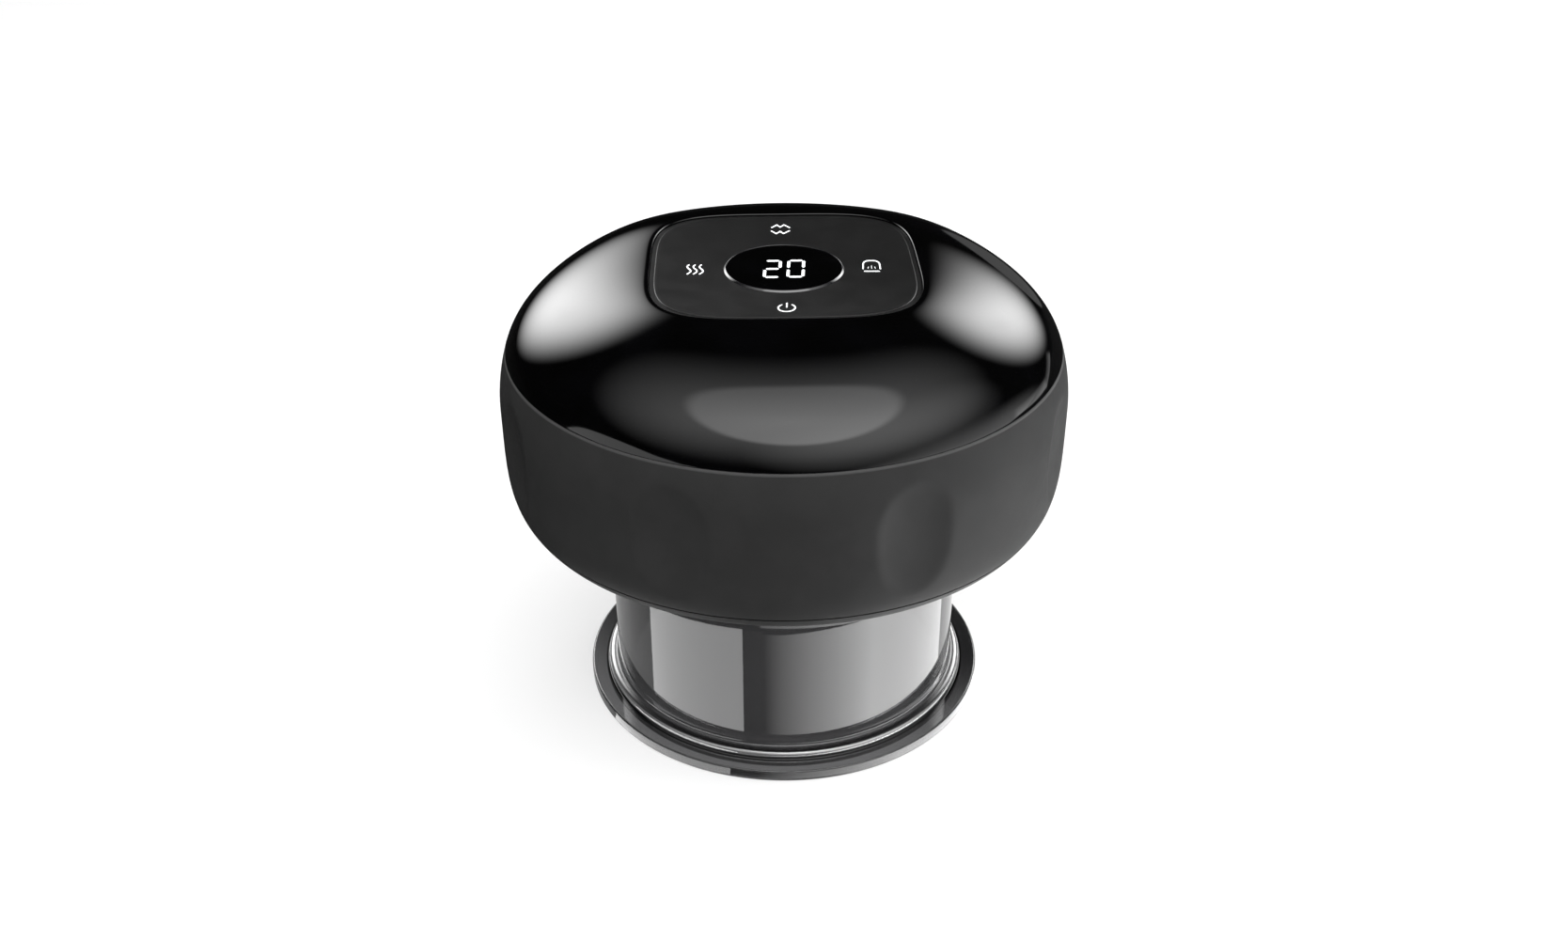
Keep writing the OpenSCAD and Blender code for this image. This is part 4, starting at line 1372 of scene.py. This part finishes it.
class Bar(Enum):
    """The seven bars of a number, as the places of their two ends in a unit square."""

    TOP = ((0, 1), (1, 1))
    UPPER_RIGHT = ((1, 1), (1, 0.5))
    LOWER_RIGHT = ((1, 0.5), (1, 0))
    BOTTOM = ((1, 0), (0, 0))
    LOWER_LEFT = ((0, 0), (0, 0.5))
    UPPER_LEFT = ((0, 0.5), (0, 1))
    MIDDLE = ((0, 0.5), (1, 0.5))


NUMERALS = {
    0: (Bar.TOP, Bar.UPPER_RIGHT, Bar.LOWER_RIGHT, Bar.BOTTOM, Bar.LOWER_LEFT, Bar.UPPER_LEFT),
    2: (Bar.TOP, Bar.UPPER_RIGHT, Bar.MIDDLE, Bar.LOWER_LEFT, Bar.BOTTOM),
}


@dataclass
class Display:
    """Round display: bright raised ring, black lens and a two-figure number of lit bars."""

    ring_r: float = 10.32
    ring_w: float = 0.36
    ring_z: float = 81.86
    ring_up: float = 0.3
    ring_foot: float = 0.7
    ring_sink: float = 0.03
    ring_edge: float = 0.02
    crest_r: float = 0.05
    seat_r: float = 10.05
    low_z: float = 80.2
    lens_z: float = 80.6
    lens_sink: float = 0.03
    lens_gap: float = 0.02
    lens_edge: float = 0.1
    crown: float = 0.04
    crown_n: int = 12
    pinhole: float = 0.01
    figures: tuple[int, int] = (2, 0)
    figure_w: float = 2.56
    figure_h: float = 7.05
    figure_pitch: float = 4.0
    figure_y: float = -0.8
    bar_w: float = 0.52
    bar_h: float = 0.62
    end_gap: float = 0.15
    waist_gap: float = 0.42
    slant: float = 0.06
    number_up: float = 0.03
    number_down: float = 0.05

    def ring_section(self) -> list[Point]:
        """Section of the ring, which slopes outwards from a rounded crest.

        Returns:
            Radius and height of each corner.
        """
        inner, crest_r = self.ring_r - self.ring_w, self.crest_r
        crest_z = self.ring_z + self.ring_up - crest_r
        foot, seat_z = inner - self.ring_foot, self.ring_z - self.ring_sink
        return [
            (inner, crest_z), (inner, self.lens_z), (foot, self.lens_z), (foot, self.low_z),
            (self.seat_r, self.low_z), (self.seat_r, seat_z), (self.ring_r, seat_z),
            (self.ring_r, self.ring_z + self.ring_edge),
            *arc((inner + crest_r, crest_z), crest_r, 50, 180, 5)[:-1],
        ]

    def lens_top(self) -> float:
        """Height of the lens, just under the ring's crest."""
        return self.ring_z + self.ring_up - self.lens_sink

    def lens_section(self) -> list[Point]:
        """Section of the lens, very slightly crowned, about a pinhole on the axis.

        Returns:
            Radius and height of each corner.
        """
        rim_r, top = self.ring_r - self.ring_w - self.lens_gap, self.lens_top()
        shares = [1 - k / self.crown_n for k in range(self.crown_n)]
        crown = [(rim_r * share, top - self.crown * share ** 2) for share in shares]
        foot = [(self.pinhole, self.lens_z), (rim_r, self.lens_z), (rim_r, top - self.lens_edge)]
        return [*foot, *crown, (self.pinhole, top)]

    def bar(self, bar: Bar, left: float) -> list[Point]:
        """Six corners of one lit bar.

        Args:
            bar: which bar.
            left: the figure's left edge.

        Returns:
            Corners in plan.
        """
        (u0, v0), (u1, v1) = bar.value
        low = self.figure_y - self.figure_h / 2
        ends = []
        for u, v in ((u0, v0), (u1, v1)):
            shift = self.slant * (v - 0.5) * self.figure_h
            ends.append(Vector((left + u * self.figure_w + shift, low + v * self.figure_h)))
        along = (ends[1] - ends[0]).normalized()
        side = Vector((abs(along.y) * self.bar_w / 2, abs(along.x) * self.bar_h / 2))
        tip = Vector((along.x * self.bar_w / 2, along.y * self.bar_h / 2))
        gaps = [self.waist_gap if u0 == u1 and v == 0.5 else self.end_gap for v in (v0, v1)]
        start, stop = ends[0] + along * gaps[0], ends[1] - along * gaps[1]
        return [start, start + tip + side, stop - tip + side, stop, stop - tip - side, start + tip - side]

    def number(self) -> bpy.types.Object:
        """Thin lit bars on the lens.

        Returns:
            One object with all bars.
        """
        top = self.lens_top()
        points, faces = [], []
        for k, figure in enumerate(self.figures):
            left = (k - 0.5) * self.figure_pitch - self.figure_w / 2
            for bar in NUMERALS[figure]:
                corners = self.bar(bar, left)
                upper, count = len(points), len(corners)
                lower = upper + count
                points += [(x, y, top + self.number_up) for x, y in corners]
                points += [(x, y, top - self.number_down) for x, y in corners]
                faces += [tuple(range(upper, lower)), tuple(range(lower + count - 1, lower - 1, -1))]
                turns = [(i, (i + 1) % count) for i in range(count)]
                faces += [(upper + i, lower + i, lower + j, upper + j) for i, j in turns]
        return make_object("display_number", points, faces)

    def build(self) -> None:
        """Makes ring, lens and number in place of the CAD nodes."""
        settle(revolve("display_bezel", self.ring_section()), BRIGHT, HEAD, "ring_bright", "display_ring")
        settle(revolve("display_glass", self.lens_section()), LENS, HEAD, "lens_black", "display_lens")
        settle(self.number(), GLOW, HEAD, "display_dark")


class InnerWorks:
    """The pieces that keep their CAD shape: underside fittings, carrier, pump, valve, power and boards."""

    def build(self) -> None:
        """Dresses every CAD node by the slot that it came with; later classes replace some of them."""
        for name, node in sorted(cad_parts.items()):
            slot = node.data.materials[0].name
            SLOTS[slot].dress(node)
            LOG.info("%s: dressed as %s", name, slot)


@dataclass
class ReturnSpring:
    """Return spring of the release valve, which the armature presses together as the valve opens."""

    turns: int = 4
    wire_r: float = 0.18
    travel: float = 1.0
    wire_n: int = 10
    turn_n: int = 32

    def rings(self, low: Vector, high: Vector) -> list[Ring]:
        """Rings of the wire along the coil, which winds about the X axis.

        Args:
            low: lower corner of the spring's box in millimetres.
            high: its upper corner.

        Returns:
            One ring for each step of the coil.
        """
        mid, count = (low + high) / 2, self.turns * self.turn_n
        coil_r, length = (high.z - low.z) / 2 - self.wire_r, high.x - low.x - 2 * self.wire_r
        section = arc((0, 0), self.wire_r, 0, 360, self.wire_n)[:-1]
        rings = []
        for k in range(count + 1):
            turn = 2 * math.pi * k / self.turn_n
            out = Vector((0, math.cos(turn), math.sin(turn)))
            centre = Vector((low.x + self.wire_r + length * k / count, mid.y, mid.z)) + out * coil_r
            rings.append([centre + out * u + Vector((v, 0, 0)) for u, v in section])
        return rings

    def build(self) -> None:
        """Makes the spring in place of its CAD node."""
        low, high = (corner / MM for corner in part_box("valve_spring"))
        piece = skin("valve_return_spring", self.rings(low, high), Ends.CAPPED)
        polish(piece)
        settle(piece, SLOTS["screw_steel"], HEAD, "screw_steel", "valve_spring")
        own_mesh(piece)


# Studio


class Reach(Enum):
    """Which surfaces a light is for, as the kinds of ray that it is hidden from."""

    ALL = ()
    POLISH = ("diffuse",)
    MATTE = ("glossy",)


def hide_from(thing: bpy.types.Object, *rays: str) -> None:
    """Hides a thing of the studio from the given kinds of ray."""
    for ray in rays:
        setattr(thing, "visible_" + ray, False)


@dataclass
class Softbox:
    """A thin glowing panel with soft borders, aimed at the object, through which other panels show."""

    name: str
    azimuth: float
    elevation: float
    width: float
    height: float
    level: float
    feather: float
    top_share: float = 1.0
    distance: float = 0.9
    reach: Reach = Reach.ALL
    round: bool = True
    roll: float = 0.0
    aim_z: float = 0.06

    def glow(self) -> bpy.types.Material:
        """Emission that fades towards the borders and changes evenly towards the top.

        Returns:
            The panel's material.
        """
        made, graph = new_material("glow_" + self.name)
        x, y, _ = graph.axes()
        u, v = x / (self.width / 2), y / (self.height / 2)
        off = (u * u + v * v) ** 0.5 if self.round else u.size().at_least(v.size())
        shade = graph.blend(v * 0.5 + 0.5, grey(1.0), grey(self.top_share))
        colour = graph.blend(off.step(1 - self.feather, 1.0), shade, grey(0.0))
        graph.end(graph.add(graph.emission(colour, self.level), graph.clear()))
        return made

    def build(self) -> None:
        """Stands the panel round the object."""
        panel = sheet(self.name, self.width / 2 / MM, self.height / 2 / MM)
        way = direction(self.azimuth, self.elevation)
        turn = Quaternion((0, 0, 1), math.radians(self.roll))
        panel.location = Vector((0, 0, self.aim_z)) + way * self.distance
        panel.rotation_mode = "QUATERNION"
        panel.rotation_quaternion = way.to_track_quat("Z", "Y") @ turn
        panel.data.materials.append(self.glow())
        hide_from(panel, "camera", "shadow", *self.reach.value)


@dataclass
class TableCard:
    """A card on the table, laid where the cup's wall mirrors it to the camera between two wall angles."""

    name: str
    start: float
    end: float
    level_start: float
    level_end: float
    far_start: float = 39.0
    far_end: float = 39.0
    near: float = 5.5
    reach: Reach = Reach.POLISH
    tube_r: float = 32.2
    lift: float = 0.4
    least_steps: int = 4

    def spot(self, angle: float, away: float, eye: Vector) -> Station:
        """Place on the table that a wall angle mirrors to the camera.

        Args:
            angle: degrees round the wall from the front, positive to the right.
            away: distance from the wall in millimetres.
            eye: the camera's place in metres.

        Returns:
            The place in millimetres.
        """
        wall = direction(angle, 0) * self.tube_r
        sight = math.degrees(math.atan2(eye.x / MM - wall.x, wall.y - eye.y / MM))
        there = wall + direction(2 * angle - sight, 0) * away
        return there.x, there.y, self.lift

    def glow(self) -> bpy.types.Material:
        """Emission upwards that changes evenly from one end of the card to the other.

        Returns:
            The card's material.
        """
        made, graph = new_material("glow_" + self.name)
        share = Value(graph, graph.node("ShaderNodeAttribute", {"attribute_name": "share"}).outputs["Fac"])
        top = max(self.level_start, self.level_end)
        colour = graph.blend(share, grey(self.level_start / top), grey(self.level_end / top))
        under = graph.node("ShaderNodeNewGeometry").outputs["Backfacing"]
        graph.end(graph.mix(under, graph.emission(colour, top), graph.clear()))
        return made

    def build(self, eye: Vector) -> None:
        """Lays the card.

        Args:
            eye: the camera's place in metres.
        """
        steps = max(self.least_steps, int(abs(self.end - self.start)))
        angles = [self.start + (self.end - self.start) * k / steps for k in range(steps + 1)]
        far = [self.far_start + (self.far_end - self.far_start) * k / steps for k in range(steps + 1)]
        points = [self.spot(angle, away, eye) for angle, end in zip(angles, far) for away in (self.near, end)]
        faces = [(k, k + 1, k + 3, k + 2) for k in range(0, 2 * steps, 2)]
        card = make_object(self.name, points, faces)
        share = card.data.attributes.new("share", "FLOAT", "POINT")
        share.data.foreach_set("value", [k // 2 / steps for k in range(len(points))])
        if card.data.polygons[0].normal.z < 0:
            card.data.flip_normals()
        card.data.materials.append(self.glow())
        hide_from(card, "camera", "transmission", "shadow", *self.reach.value)


@dataclass
class Studio:
    """Pale floor, soft light, dark cloth round the set, and the camera."""

    ambient: float = 0.35
    floor_half: float = 4.0
    floor_gap: float = 0.0001
    floor_albedo: float = 0.4
    floor_glow: float = 0.6
    cloth_near: float = 0.039
    cloth_reach: float = 6.0
    cloth_lift: float = 0.0002
    cloth_top: float = 89.9
    cloth_steps: int = 9
    cloth_segments: int = 48
    cloth_albedo: float = 0.01
    camera_azimuth: float = -1.8
    camera_reach: float = 0.2509
    camera_height: float = 0.1873
    camera_pitch: float = 30.1
    lens: float = 36.19
    sensor: float = 36.0
    clip: float = 0.01
    softboxes: list[Softbox] = field(default_factory=lambda: [
        Softbox("rim_left", -147.1, 22, 0.88, 0.92, 6.3, 0.92, reach=Reach.POLISH),
        Softbox("rim_right", 139.5, 24.5, 0.84, 0.82, 6.4, 0.9),
        Softbox("edge_right", 153.7, 0.4, 0.116, 0.094, 0.107, 0.08, top_share=2.2, distance=0.35,
                reach=Reach.POLISH, roll=30),
        Softbox("line_back", 119.6, -1, 0.099, 0.03, 0.7, 0.3, top_share=0, distance=0.353,
                reach=Reach.POLISH, round=False, roll=26.3),
        Softbox("line_side", 103.1, -0.9, 0.173, 0.036, 1.5, 0.3, top_share=0, distance=0.354,
                reach=Reach.POLISH, round=False, roll=-11),
        Softbox("canopy", 4.9, 67.3, 6.22, 3.35, 5.74, 2.5, distance=1.2, reach=Reach.POLISH),
        Softbox("overhead", 7.7, 70.2, 1.045, 1.045, 2.58, 0.18, top_share=0.32),
        Softbox("strip_left", -60.3, -4.8, 1.03, 0.519, 1.25, 0.035, reach=Reach.POLISH),
        Softbox("glow_right", 64.2, -8, 2.4, 0.9, 1.7, 0.8, reach=Reach.POLISH),
        Softbox("glow_front", 41, 35, 3.04, 1.63, 1.12, 1.0, distance=1.1, reach=Reach.POLISH),
        Softbox("fill_front", 20, 60, 4.4, 2.5, 2.0, 1.0, distance=0.95, reach=Reach.MATTE),
        Softbox("fill_right", 98, 6, 0.9, 0.8, 8.5, 0.6, reach=Reach.MATTE),
    ])
    cards: list[TableCard] = field(default_factory=lambda: [
        TableCard("card_edge_left", -86, -49.3, 0.5, 0.5),
        TableCard("card_window", -49.3, -14.6, 3.5, 3.5, 38.8, 39.2),
        TableCard("card_gap", -14.6, -8, 0.1, 0.1),
        TableCard("card_rise", -8, -2, 0.1, 1.25, 37.9, 37.9),
        TableCard("card_ramp", -2, 27, 1.25, 6.1, 37.9, 40.4),
        TableCard("card_right", 27, 61, 6.1, 3.3, 40.4, 40.0),
        TableCard("card_edge_right", 61, 86, 1.15, 1.15),
        TableCard("card_line", -9, 26, 1.2, 4.4, 41.1, 41.1, near=40.1),
        TableCard("bounce_left", -62, -25, 1.05, 1.05, 120, 120, 25, Reach.MATTE),
        TableCard("bounce_front", -25, 25, 0.9, 0.9, 120, 120, 25, Reach.MATTE),
        TableCard("bounce_right", 25, 62, 16.5, 16.5, 120, 120, 25, Reach.MATTE),
    ])

    def seen(self, graph: Graph) -> Value:
        """Tells what the eye can meet from what only lights the scene.

        Args:
            graph: the graph of a material or world.

        Returns:
            1 where a ray comes from the camera, a polish or a clear piece.
        """
        path = graph.node("ShaderNodeLightPath")
        kinds = ("Camera", "Glossy", "Transmission")
        camera, gloss, clear = (Value(graph, path.outputs["Is " + kind + " Ray"]) for kind in kinds)
        return camera.at_least(gloss).at_least(clear)

    def world(self) -> None:
        """Even grey light, and white where the background is seen."""
        made = bpy.data.worlds.new("studio")
        bpy.context.scene.world = made
        made.use_nodes = True
        graph = Graph(made.node_tree)
        dim, white = (
            graph.node("ShaderNodeBackground", None, {"Color": grey(1.0), "Strength": level}).outputs[0]
            for level in (self.ambient, 1.0)
        )
        graph.end(graph.mix(self.seen(graph), dim, white), "ShaderNodeOutputWorld")

    def floor(self) -> None:
        """Pale floor that keeps the object's shadow."""
        half = self.floor_half / MM
        slab = sheet("floor", half, half, -self.floor_gap / MM)
        made, graph = new_material("floor_pale")
        none, glow = graph.emission(grey(0.0), 0.0), graph.emission(grey(1.0), self.floor_glow)
        lit = graph.mix(self.seen(graph), none, glow)
        graph.end(graph.add(graph.diffuse(self.floor_albedo), lit))
        slab.data.materials.append(made)

    def cloth(self) -> None:
        """Dark cloth on the table, round and over the set, which only polished pieces see."""
        lift = self.cloth_lift / MM
        section = [(self.cloth_near / MM, lift)]
        section += arc((0, lift), self.cloth_reach / MM, 0, self.cloth_top, self.cloth_steps)
        rings = [round_ring(r, z, self.cloth_segments) for r, z in section]
        cloth = skin("dark_cloth", rings, Ends.OPEN)
        made, graph = new_material("cloth_dark")
        graph.end(graph.diffuse(self.cloth_albedo))
        cloth.data.materials.append(made)
        hide_from(cloth, "camera", "diffuse", "transmission", "shadow")

    def eye(self) -> Vector:
        """The camera's place."""
        return direction(self.camera_azimuth, 0) * self.camera_reach + Vector((0, 0, self.camera_height))

    def camera(self) -> None:
        """Camera at the photograph's angle."""
        view = bpy.data.cameras.new("camera")
        view.lens = self.lens
        view.sensor_width = self.sensor
        view.clip_start = self.clip
        seat = bpy.data.objects.new("camera", view)
        seat.location = self.eye()
        seat.rotation_euler = (math.radians(90 - self.camera_pitch), 0, math.radians(self.camera_azimuth))
        bpy.context.scene.collection.objects.link(seat)
        bpy.context.scene.camera = seat

    def build(self) -> None:
        """Sets up camera, floor and light."""
        bpy.context.scene.view_settings.view_transform = "Standard"
        self.camera()
        self.world()
        self.floor()
        self.cloth()
        for lamp in self.softboxes:
            lamp.build()
        for card in self.cards:
            card.build(self.eye())
        LOG.info("studio: %d softboxes and %d cards", len(self.softboxes), len(self.cards))


def main() -> None:
    """Builds the dressed massager and its studio."""
    logging.basicConfig(level=logging.INFO, format="%(message)s")
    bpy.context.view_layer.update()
    Studio().build()
    outline = HeadOutline()
    assemblies = [
        InnerWorks(),
        ReturnSpring(),
        SuctionCup(),
        BaseCover(outline),
        GripHousing(outline),
        GlossCover(outline),
        TouchPanel(outline),
        Display(),
    ]
    for assembly in assemblies:
        assembly.build()
        LOG.info("%s is built", type(assembly).__name__)


if __name__ == "__main__":
    main()
